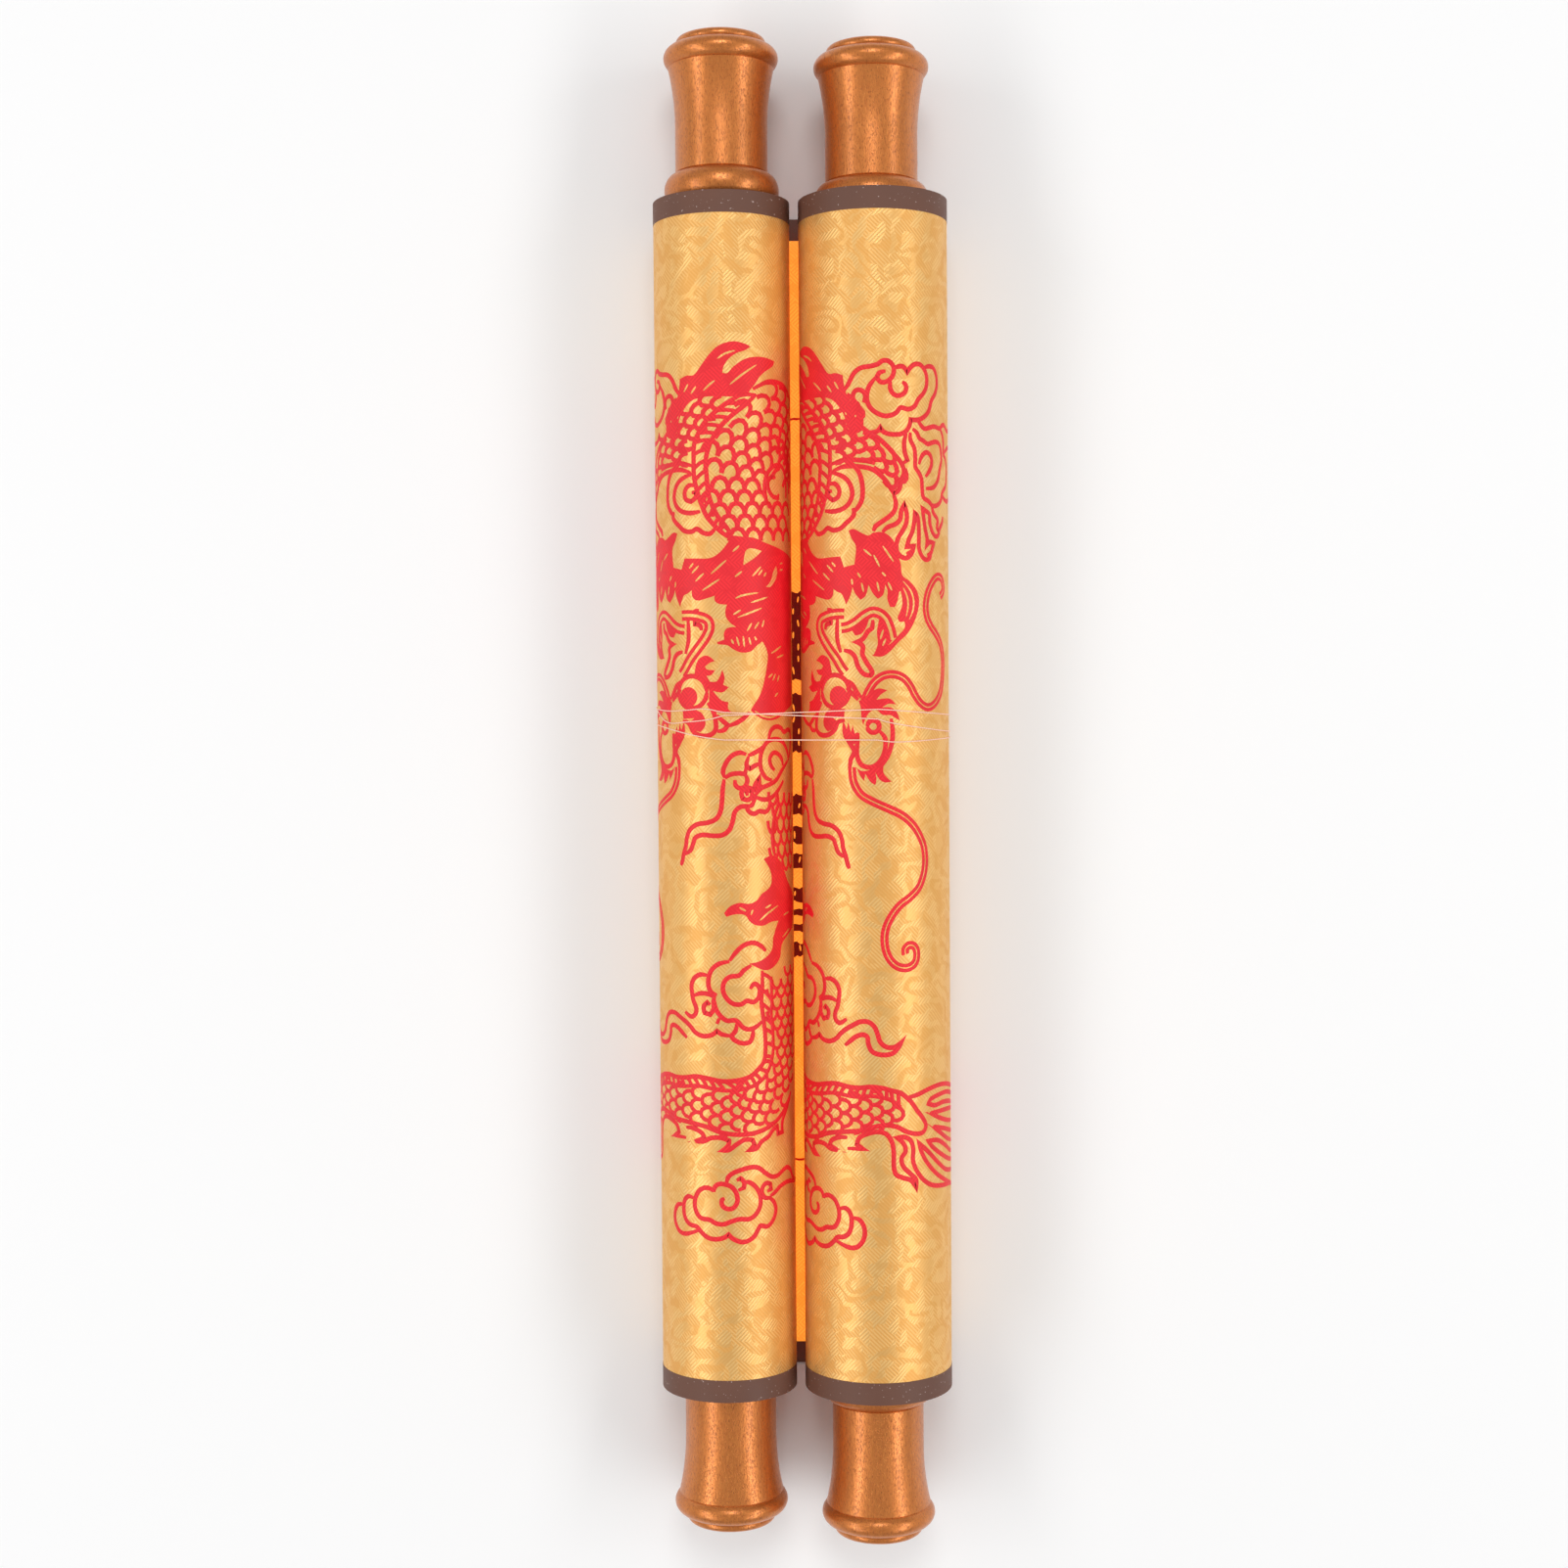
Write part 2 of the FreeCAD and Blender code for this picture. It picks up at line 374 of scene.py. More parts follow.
def turn_knob(name, roll, rod_end, outward):
    """A knob at one end of a roll's rod; outward is -1 or 1 along the scroll."""
    mesh = bpy.data.meshes.new(name)
    corners = [
        ((roll["x"] + reach) * MM, (rod_end + outward * along) * MM, roll["z"] * MM)
        for reach, along in knob_outline()
    ]
    mesh.from_pydata(corners, [(i, i + 1) for i in range(len(corners) - 1)], [])
    piece = new_object(name, mesh)
    select_only(piece)
    bpy.ops.object.mode_set(mode="EDIT")
    bpy.ops.mesh.select_all(action="SELECT")
    centre = (roll["x"] * MM, 0, roll["z"] * MM)
    bpy.ops.mesh.spin(steps=KNOB_STEPS, angle=math.tau, center=centre, axis=(0, 1, 0))
    bpy.ops.mesh.select_all(action="SELECT")
    bpy.ops.mesh.remove_doubles(threshold=WELD)
    bpy.ops.mesh.normals_make_consistent(inside=False)
    bpy.ops.object.mode_set(mode="OBJECT")
    bpy.ops.object.shade_smooth_by_angle(angle=math.radians(40))
    return piece


knobs = []
for side, roll in ROLLS.items():
    for end, outward, rod_end in (("top", 1, roll["rod"][1]), ("bottom", -1, roll["rod"][0])):
        knob = turn_knob(f"{side}_{end}_knob", roll, rod_end, outward)
        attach(knob, "root")
        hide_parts(f"{side}_rod_knobs")
        knobs.append(knob)
print("knobs:", [len(knob.data.polygons) for knob in knobs], "faces")

# %% [markdown]
# The print is a traditional dragon among clouds, drawn as flat red shapes on the cloth. Each
# roll shows the same drawing, mirrored on the right one. It is drawn once on the flat, in
# millimetres across and along the sheet, and then bent round each roll.
# %% Reading and smoothing an outline
def points_of(text):
    """'38,100 36,102' as points in millimetres, across and along the sheet."""
    pairs = (pair.split(",") for pair in text.split())
    return [Vector((float(across), float(along), 0.0)) for across, along in pairs]


SHARP_TURN = math.radians(62)


def smooth_path(points, closed=False, per_span=5):
    """A curve through the points; where the line turns sharply, the corner stays."""
    count = len(points)
    leans = []
    for i, here in enumerate(points):
        inside = closed or 0 < i < count - 1
        before, after = points[i - 1], points[(i + 1) % count]
        turn = (here - before).angle(after - here, math.pi) if inside else math.pi
        lean = (after - before).normalized() if turn < SHARP_TURN else Vector((0, 0, 0))
        leans.append(lean)
    path = []
    for i in range(count if closed else count - 1):
        here, following = points[i], points[(i + 1) % count]
        reach = (following - here).length / 3
        handles = here + leans[i] * reach, following - leans[(i + 1) % count] * reach
        path += interpolate_bezier(here, *handles, following, per_span + 1)[:-1]
    if not closed:
        path.append(points[-1])
    return path


# %% [markdown]
# A printed line stands a few hundredths of a millimetre on the cloth. Its cross-section is a
# flat lens, used as the bevel of a curve; a whisker has two lenses side by side, so a thread
# of bare gold runs down its middle.
# %% Printed lines
INK_TOP = 0.035
INK_FOOT = -0.02
LENS = [(-0.5, INK_FOOT), (-0.42, INK_TOP), (0.42, INK_TOP), (0.5, INK_FOOT)]


def line_section(name, width, centres=(0.0,)):
    """The cross-section of a printed line: one flat lens at each centre."""
    data = bpy.data.curves.new(name, "CURVE")
    data.dimensions = "2D"
    for centre in centres:
        spline = data.splines.new("POLY")
        spline.points.add(len(LENS) - 1)
        for point, (share, height) in zip(spline.points, LENS):
            point.co = (centre + share * width, height, 0, 1)
        spline.use_cyclic_u = True
    return new_object(name, data)


def draw_lines(name, strokes, section, per_span=5, taper=1.0):
    """A flat mesh of lines; taper is how wide each line still is at its ends."""
    data = bpy.data.curves.new(name, "CURVE")
    data.dimensions = "2D"
    data.fill_mode = "NONE"
    data.bevel_mode = "OBJECT"
    data.bevel_object = section
    data.use_fill_caps = True
    for stroke in strokes:
        path = smooth_path(stroke, per_span=per_span)
        spline = data.splines.new("POLY")
        spline.points.add(len(path) - 1)
        for i, (point, place) in enumerate(zip(spline.points, path)):
            point.co = (*place, 1)
            from_end = min(i, len(path) - 1 - i) / per_span
            point.radius = taper + (1 - taper) * min(1.0, from_end)
    select_only(new_object(name, data))
    bpy.ops.object.convert(target="MESH")
    return bpy.context.object


def on_flat(texts):
    """Strokes, each read from its text."""
    return [points_of(text) for text in texts]


# %% [markdown]
# A solid red area is cut along lines about a millimetre apart and filled with triangles
# between them, so it bends round the roll without cutting into it. Slits in it stay open, so
# the gold cloth shows through as it does between the real brush strokes.
# %% Printed areas
CUT_STEP = 1.1


def holds(outline, across, along):
    """True if a point lies in an outline."""
    inside = False
    for a, b in zip(outline, outline[1:] + outline[:1]):
        if (a.y > along) != (b.y > along):
            crossing = a.x + (along - a.y) / (b.y - a.y) * (b.x - a.x)
            inside ^= across < crossing
    return inside


def slit_outline(line, width=0.5):
    """A gap between two brush strokes: a line given a width that runs out at both ends."""
    if len(line) == 2:
        line = [line[0], line[0].lerp(line[1], 0.35), line[0].lerp(line[1], 0.7), line[1]]
    line = smooth_path(line, per_span=3)
    sides = [[], []]
    for i in range(1, len(line) - 1):
        along = (line[i + 1] - line[i - 1]).normalized()
        share = min(1.0, 2.2 * min(i, len(line) - 1 - i) / len(line) + 0.35)
        across = Vector((-along.y, along.x, 0)) * width / 2 * share
        sides[0].append(line[i] + across)
        sides[1].append(line[i] - across)
    return [line[0], *sides[0], line[-1], *reversed(sides[1])]


def fill_area(name, outline, gaps=()):
    """A flat mesh that fills an outline and leaves its gaps open."""
    low, high = min(p.x for p in outline), max(p.x for p in outline)
    bottom, top = min(p.y for p in outline), max(p.y for p in outline)
    corners, edges = [], []
    for ring in (outline, *gaps):
        first = len(corners)
        corners += [p.to_2d() for p in ring]
        edges += [(first + i, first + (i + 1) % len(ring)) for i in range(len(ring))]
    for cut in range(math.ceil(low / CUT_STEP), math.floor(high / CUT_STEP) + 1):
        edges.append((len(corners), len(corners) + 1))
        corners += [Vector((cut * CUT_STEP, bottom - 1)), Vector((cut * CUT_STEP, top + 1))]
    places, _, triangles = delaunay_2d_cdt(corners, edges, [], 0, 1e-4)[:3]
    kept = []
    for triangle in triangles:
        across, along = (sum(places[i][k] for i in triangle) / 3 for k in (0, 1))
        if holds(outline, across, along) and not any(holds(g, across, along) for g in gaps):
            kept.append(triangle)
    mesh = bpy.data.meshes.new(name)
    mesh.from_pydata([(p.x, p.y, INK_TOP) for p in places], [], kept)
    piece = new_object(name, mesh)
    select_only(piece)
    bpy.ops.object.mode_set(mode="EDIT")
    bpy.ops.mesh.select_all(action="SELECT")
    bpy.ops.mesh.delete_loose()
    bpy.ops.mesh.select_all(action="SELECT")
    bpy.ops.mesh.extrude_region_move(TRANSFORM_OT_translate={"value": (0, 0, INK_FOOT - INK_TOP)})
    bpy.ops.mesh.select_all(action="SELECT")
    bpy.ops.mesh.normals_make_consistent(inside=False)
    bpy.ops.object.mode_set(mode="OBJECT")
    return piece


# %% [markdown]
# The clouds are curling outlines. Each text is one brush stroke, read off the cloth.
# %% Clouds
CLOUD_STROKES = on_flat([
    # the cloud above the fore limb
    "38,100.2 36.6,102 35.2,104.5 33.5,105.8 31,106.2 29.2,106.7 28,107.5 26.5,107.4 25.3,106"
    " 25.5,104 26.8,102.6 28.4,102.3 29.5,103.4 28.8,104.6 27.3,105",
    "25.4,105.7 24,106.2 22.8,106.2 21.7,105 20.8,106.1 19.5,107 17.8,107 16.4,105.8 15.7,104"
    " 15.9,101.7 17,100 18.6,98.4 19.7,96.7 21.5,95.9 23.5,96.2 24.6,95 26,94.3 27.6,94.1"
    " 29.5,94.8 31,96 31.9,97.8 31.9,99.6 31.2,101.6 29.6,103.6",
    "23.1,102.4 22.3,102 22,100.8 22.8,99.6 24.3,99.1 25.5,99.6 26.2,101 26.1,102.6",
    "16.5,106.4 15,106.9 13.2,106.7 12,105.2 11.6,103 12.3,100.7 14,98.5 15,96 16.6,94.4"
    " 18.6,93.5 20.8,93.4 21.2,91.8 22.4,90.3 24,89.7 26.4,89.7 28,90.3 28.7,91.2 29.6,90.3"
    " 32.6,90.1",
    "32.8,97.4 32.3,99 33,100.2 34.4,100.5 35.3,99.6 35.2,98",
    # the cloud behind the claw, with its ribbons
    "0,92.5 2.5,92.3 5,92.1 7.5,93.2 9,92.9 10.2,92.1 13,92.3 15,91.8 16.6,91.5 17.8,92.3"
    " 18.9,93.5",
    "0,88.3 3,88.1 5.5,87.4 8,86",
    "0,75.3 3,75 5,74.4 7.5,74.8 9,75.7",
    "10.2,92.1 8.6,90.5 8,88.5 7.9,86 6.3,84.8 5.4,82.5 5.6,80 6.5,78 8.3,76.8 9.2,75.8"
    " 9.6,74.5 11.2,73.2 13.6,72.7 15.2,73.7 17,74.6 17.4,76.5 17.6,79 18.4,80.5 19.5,81.9"
    " 19.5,84 19.8,86.5 20.9,88.5 20.9,90.3",
    "20.3,91.2 19,90.3 18.2,89 17,88.5 15.5,87.8 14,88.2 12,88.6 10.3,88 9.6,86.5 9.4,84"
    " 10.3,82 10.9,80 11.8,78.5 13.5,77.2 16.2,76.8",
    "16.3,79.7 14.9,81.2 14,83 14.3,84.8 15.8,85.7 17.4,84.8 18.4,82.6",
    "22,90 22.6,88 22.5,85.5 21.8,83.5 22.8,82.7",
    # the small cloud inside the coil
    "37.5,83.2 35.5,82.3 34.2,80.8 33.4,78.7 33.1,75.8 33.4,73.5 34.4,71.8 35.4,70.7",
    "41.5,80.8 38.5,79.8 36.6,78.2 35.7,75.6 36.2,73.6 37.4,72.2 39.2,71.4 41.3,71.2 43.5,71.5",
    "35.6,71.8 35.3,70.3 36.2,69.1 37.2,68.3 39,66.9 41,66.6 42.6,67.2 44.2,66.2 46,66"
    " 47.3,67.4",
    "42.2,77.8 40.5,78 39.2,76.5 39.5,74.7 41,74 42.3,75 42.3,76.2 41.2,76.2",
    # the cloud beside the beard
    "63,7.5 61.8,8.5 61.3,10.3 62.5,11.8 64.3,11.5 66,10 66.2,8.5",
    "62,5 60,5.7 58.6,7.8 58.4,10.5 59.2,13 61,14.8 64,15.2 66.7,14.2 68.8,12 69.5,9.8",
    "61,15 61.7,17.3 63.5,18.3 65.5,18 67,17 69,17.5 70.8,17.3 71.3,15.5 70.8,13 70,10.5",
    "60.5,14.3 58.5,12.8 56.5,11.8 55,11.2",
    "54.6,11.5 53,12 51,11.3 49.5,9.5 48.7,7.3 49.2,5.8",
    "55.2,11 54.6,9 55.5,8 57,8.8 58.3,9.2",
    "54.6,8.7 54.2,6.7 52.5,6.9 50.5,6.6 49.2,5.7",
    "51.7,5.3 51.8,4 53,3.2 54.3,3.8 54.8,5.3 54.2,6.6",
    "54.8,1.3 54.5,2.5 55.8,2.6 56,1.2 55,0.3 53.6,0.6 53.3,2.2 54.5,3.3 56.5,2.8 57,4.2"
    " 58,5.5 58,3.7 57.5,2.2 58.8,3.2 61,3.9 63.5,5 66,7.5 69,9.8",
    "57,1 59,0.3 61.5,0.6 64,2.2 66.5,4.8",
    "61.2,0 61,-1.8 59.8,-2.8 58,-2.6 56.5,-3.2 55,-2.4 54.7,-1.3 53,-1.4 51.6,-2.6 51,-5"
    " 50.2,-7 48.5,-8.3 46,-8.5 43.5,-8.3 41.5,-9 40.8,-10.5 40,-12.2 38.3,-13.2",
    "57,1 56,-1 54.9,-1.4",
    "49,5.5 48.6,3 48.4,0 48,-2.5 46.8,-4.4 44.5,-5.3 42,-5.7 40,-7 39,-9 38.7,-11 38,-13"
    " 37.4,-15.2 37,-16",
    # the cloud above the tail
    "50,-39.5 51.5,-37.5 53.5,-35.8 56,-35.2 58.3,-36.2 59.6,-37.5",
    "50,-39.7 47.5,-40.2 45.7,-41.5 44.8,-43.3 44.6,-45.5 45.3,-47.3 46.8,-48",
    "44.4,-43.2 42.5,-43 40.8,-44 40,-45.8 40.2,-48 40.5,-49.5 41.3,-51.5 41,-53 39.8,-53.6"
    " 38,-52.5",
    "40.8,-48.3 42.5,-47.7 44.5,-47.8 46.2,-48.6",
    "45,-50.5 44.3,-49.9 43.3,-51 43.6,-52.5 45,-52.9 45.9,-51.5 45.9,-49.5 46.2,-48.3",
    "46.2,-49.5 46.5,-51.5 47.7,-53.3 49.3,-54.4 51,-54.3 52,-54.8 53,-56 54.5,-56.7"
    " 56.5,-56.3 58.3,-55",
    "47.3,-53.8 46.7,-55.2",
    "51.7,-55 51.3,-57 50.2,-58.2 51,-59.2 53,-60.1 55,-59.8 55.8,-58 55.8,-57",
    "50.2,-58.2 48,-57.8 46.7,-57 45.3,-58 43,-58.3 41,-57.5 39.5,-56 38,-54.9 36,-53.8"
    " 34.5,-53.1 32.5,-53.1 31,-54.2 30.2,-56 29.5,-58 28,-59.2 26,-59.3 24.3,-58.3 25,-59.5"
    " 26.5,-60.8 29,-61.1 31.5,-60.3 32.5,-58.3 32.7,-56.8 33.8,-56.2 35.5,-56.7 37,-57.8"
    " 38.5,-59",
    "55.5,-40.8 53.5,-42 52.3,-43.2 50,-43.5 48.6,-44.8 48.3,-47 49.3,-49 50.8,-50.2"
    " 52.8,-50.4 54.3,-49.6 56,-50 57.3,-49 57.7,-47 57,-45.7 56,-45.6 55.2,-46.7",
    # the cloud under the tail
    "45.5,-97 44.5,-96.3 43,-96.3 41.5,-97.3 40.5,-99.5 40.6,-101.8 42,-103.8 44.5,-104.2"
    " 46,-105 48,-105.2 50,-104.5 52,-104 54.5,-104.1 56.3,-103 57.5,-100.8 57.3,-98 56,-96"
    " 54.5,-94.9 53.5,-94.8",
    "51.3,-94.3 52.3,-93.8 53.2,-94.8 53.1,-96.2 51.7,-96.8",
    "45.6,-97.2 45.8,-96 46.8,-95.2 48.3,-95.2 50.2,-96 51.3,-97.8 51.4,-99.8 50.3,-101.2"
    " 48.8,-101.3 47.7,-100.5 47.6,-99.2 48.3,-98.7",
    "48.8,-95 49.2,-93.5 50.5,-92.4 52.5,-91.7 55,-91.2 57,-91.5 59,-93 61,-94.2 63,-94.2"
    " 65,-93.3 67,-92.8 69,-93.8 70.5,-95.7 73,-97 76,-97.5",
    "60.5,-99 62,-98.3 64,-97.1 66.5,-96.5 69,-96.6 73,-97.5",
    "59.5,-97.7 60.7,-97.3 60.5,-96 59.3,-95.6 58.2,-96.5 58,-98 59,-99.3 60.5,-99.3",
    "40,-99 38.5,-98.8 37.3,-100 37,-102.5 37.6,-104.6 39,-105.8 41,-106.2 42.3,-107.5"
    " 44,-108.7 46,-109 48,-108.6 49.2,-107.8 50.5,-109 53,-109.8 55.5,-108.8 57,-106.7"
    " 57.5,-106.1 59.5,-106.5 61.3,-105.2 62.3,-102.7 61.5,-100.5 59.8,-99.2",
    "36.8,-101 34.9,-101.4 33.7,-103.5 33.9,-106 35.5,-108 37.8,-108.3 41.5,-107",
])

# %% [markdown]
# The dragon's outlines: fore limb and claw, coiled body, jaw and eye, tail with its hair.
# %% The dragon's outlines
LIMB_STROKES = on_flat([
    "33,90 30,89.2 27,86.7 25,84.5 23.5,82.8 22.7,80.5 23.5,78.5 24,76.3 25.3,75.2 26.5,77"
    " 28,79 30.5,81 33.5,81.8 38,82 41,81",
    "30,82.5 33,83.3 38,83.6 41.5,82.7",
    "25.5,75 24.9,73 25.3,71 26.5,69.7 28.5,68.3 30,67.2 30.5,66",
    "14,72.8 13.4,71 11.5,69.3 11.8,67.5 11,66.6 10,67.8 9,69 8.7,70.4",
    "10.5,66.5 11.5,65.4 12.7,65.3 14,66.5 14.8,68.5 15,70.5 16.2,71.3 17.3,71.8 17,69.8"
    " 16.5,67 15.8,64.5 15.9,63 14.8,63.7 13.3,63.5 13.8,62.3 14.5,61 15.9,60.4",
    "14.3,60.8 15,59.7 16.2,59.3 17.5,60 18.5,62 18.5,65 18.6,68 19,70 19.7,70.6 19.9,68.5"
    " 20.5,66 21.5,64 22,62.3 20.1,62.5 20.5,61.4 22.2,60.5",
    "20,61.5 21,60.3 22.3,59.5 23.8,60 24.8,61.5 24.5,64 23.3,66 22.2,68 22,70.3 22.7,72.5"
    " 23.5,71 23.8,69 25,67.8 27,67 28.3,65.8",
])
COIL_BELLY = on_flat([
    "54.5,100.3 50.5,98 47.5,95.8 45,93.5 43.3,91 42,88 41.8,84 41.9,80 42.7,76.5 43.7,73.5"
    " 45,70.5 47,68 48.8,66.3 50.5,65",
    "58,100.3 55,97.6 52,95.3 49,92.5 47.3,90.2 45.9,87.5 45,84 45.2,80 45.5,76.5 46.3,73.5"
    " 48,70 50,67.5 51.3,65.7",
])
COIL_STROKES = on_flat([
    "57,101.5 61,103.5 64,103.9 67.5,103.5 70.5,102.3 73,100.8",
    "69,75.5 68.8,80 67,83 64,83.2 61.5,81.5 60.3,78.5 60.6,75 61.8,72.5",
    "65.3,76.3 65,75.3 63,75.5 61.6,77 61.3,79 62.5,80.3 63.5,80",
    "66,82.6 64.2,82 63,80.8 64,80",
])
HEAD_STROKES = on_flat([
    "30.8,44.4 31,42.4 32,41.6 33.2,39.8 34.7,39 33.3,38 33.4,36 32.2,33.7 31,31.6 31.4,30.8"
    " 33,31.1 34.5,33 35.3,35.4 36.5,36.6 38.2,37",
    "39.8,45.3 40,42.5 39.9,39.5 39,36.5",
    "41.6,45 41.8,43.8 43.2,43.4 43.5,42.2",
    "45,24.4 46.5,22 47,19.5 46.9,17.6 45.5,16.4 43,16.3 41,17.4 39.8,19.4 38,19.8",
    "47.3,21.2 48.7,19.9 50,18.8 49,17.6 47.4,17.3",
    "50,18.6 52,19.3 54,20.5 55.6,21.9",
    "38.2,29.9 36.2,28.8 35,27 33.8,25.4",
    "37.5,27.8 36,26.4 34.5,24.8",
    "26.4,20.2 26,17 26.3,14 27.4,11 28.7,8.9",
    "29.2,17.1 27.9,15.4 28,12.5 29,10.2 30.5,8.8 32.3,8.5 34,9.3 34.9,11.5 34.8,14.5 34.6,16.8",
    "38.2,16.2 36.6,14.1 35.6,12.3 36.5,10.3 36.8,7.7",
])
TAIL_EDGE = points_of(
    "58.5,-42.3 58.5,-46 58.2,-50 58.7,-54 59.2,-58 59.3,-62 58.8,-65 57,-67 55,-68.5 52,-69.3"
    " 48,-69.5 44.5,-68.9 41,-68.5 38,-69 35,-69.2 32,-68.9 29,-69.2 27,-69.8 24.5,-70.5"
    " 23,-71.6 21.5,-73 20,-75 18.3,-77 17.2,-79 18,-80.5 20,-80.8 23,-80 25.5,-78.7"
    " 28.5,-78.2 31.5,-78.7 34.5,-79.6 38,-80 41,-80.4 44,-81 47,-82.1 50,-82.7 54,-82.9"
    " 58,-82.3 62,-80.8 65,-78.8 67.5,-76.5 69.7,-74"
)
TAIL_BORDER = points_of(
    "61.2,-44 61.4,-50 61.2,-54 61.7,-58 61.8,-62 61.2,-65 59.5,-68.4 57,-70.4 54.5,-71.3"
    " 52,-71.7 48,-71.8 44.5,-71.2 41,-70.8 38,-71.2 35,-71.4 32,-71.1 29,-71.5 26.5,-72.4"
    " 24.5,-74"
)
TAIL_AREA = TAIL_BORDER + TAIL_EDGE[27:] + points_of("72,-70 72.5,-60 72,-50 71.5,-42")
BODY_STROKES = on_flat([
    "64,1.5 64.2,-1 63,-3.5 62.3,-6.5 62,-9 62.3,-12 63,-14",
    "38,-81.5 40,-81.5 42.5,-82.5 43.2,-83.8 41,-84.7 43,-84.6 45,-83.7 47.5,-83.6 49.5,-84.3"
    " 49.3,-85.5 48,-86.7 49.5,-86.6 51.5,-85.2 53.5,-84.2 55.5,-84.4 56,-85.7 54.8,-86.8"
    " 56.5,-86.6 58,-85 60,-84 61.5,-82.5 63,-81.8 63.3,-83.7 65,-83.5 65,-81 67,-78 69,-75.5",
    "38,-84.1 34,-84 35.5,-83 34.8,-81.3 32.5,-80.2 30,-79.8 28,-80.5 26.7,-82.5 26.3,-85"
    " 26.3,-88 25.8,-90.2 24,-91.2 21.8,-92 20.3,-93.8 20.3,-92 22,-90.3 23.8,-88.5"
    " 24.3,-86.5 23.2,-84.7 23.8,-82.8 25.3,-81.4 23.5,-81.3 21.8,-82.3 21.1,-84.5 21.2,-87"
    " 20.3,-89.5 18,-92.3 15,-94 10,-94.8 5,-95.2 0,-96.5",
    "23,-71.8 20,-71.3 16,-70.2 12,-69.7 8,-70 4,-70.9 0,-71.5",
    "0,-73.5 4,-72.8 8,-72 12,-72.1 15.5,-72.8 16.3,-73.8 14,-74.5 10,-74.2 5,-74.8 0,-76",
    "0,-77.2 5,-76.5 10,-76.2 15.3,-76.3 12,-77.8 7,-79.2 0,-80.3",
    "0,-83 5,-82 10,-80.7 14.3,-79.8 12,-81.3 7,-83.8 0,-85.5",
    "0,-88 5,-87 9,-85 13,-83.2 16.3,-83 15,-84.5 11,-87 6,-89 0,-90",
    "0,-92.5 5,-91.9 9,-91 13,-88.5 16.5,-85.5 19.3,-83.3 18.8,-85 17,-88 13.5,-91.3"
    " 9,-93.7 4,-95.3",
])

# %% [markdown]
# Whiskers and lips are double lines with bare gold between the two. Eye and nostril are
# rings.
# %% Whiskers, eye and nostril
WHISKERS = on_flat([
    "33,24.6 31.9,27 30.3,29.3 28.2,30.7 25.6,31 23.1,30.1 21.3,28.2 20,26 18.3,24 16,22.9"
    " 13.5,23.6 11,25.8 9.7,28.5 9.1,31.5 9,34.5 9.4,36.8 10.6,39.1 12.5,41.1 14.5,42.9"
    " 16,45.2 16.4,48 15.7,51 14.1,53.6 12,55.2 10,55.1 8.8,53.7 8.8,51.8 10.4,50.5",
    "36.2,8.5 35.8,5 34,2 31,0.2 27,-1.6 23.5,-3.3 20.8,-5.5 18.9,-8 17.5,-10.8 17,-14"
    " 17.5,-17.5 19,-20.7 21.5,-23 24.3,-24.9 26.5,-27.5 28,-30.6 28.3,-34 27.4,-37.3"
    " 25.4,-39.5 22.8,-40.2 20.6,-39.3 19.8,-37.3 20.3,-35.3 21.8,-34.7 23,-35.6 22.9,-36.9",
])
LIPS = on_flat([
    "26,39.8 26.6,42.3 27.7,44.7 29.3,46 31,46.3 33,45.3 35,43.8 37,42.8 38.8,42.5",
    "38,46 40.5,46 43,45.6 45.2,44.6 45.6,42.7 44.5,40.3 42.5,37.7 40.3,35 38.7,32.6 37.8,31.5",
])


def ring(across, along, radius, points=24):
    """A closed round, as a stroke that ends where it starts."""
    turns = [math.tau * i / points for i in range(points + 1)]
    return [
        Vector((across + radius * math.cos(turn), along + radius * math.sin(turn), 0))
        for turn in turns
    ]


EYE_RINGS = [ring(40.8, 27, 4.0), ring(30.8, 18.3, 1.45, 12)]

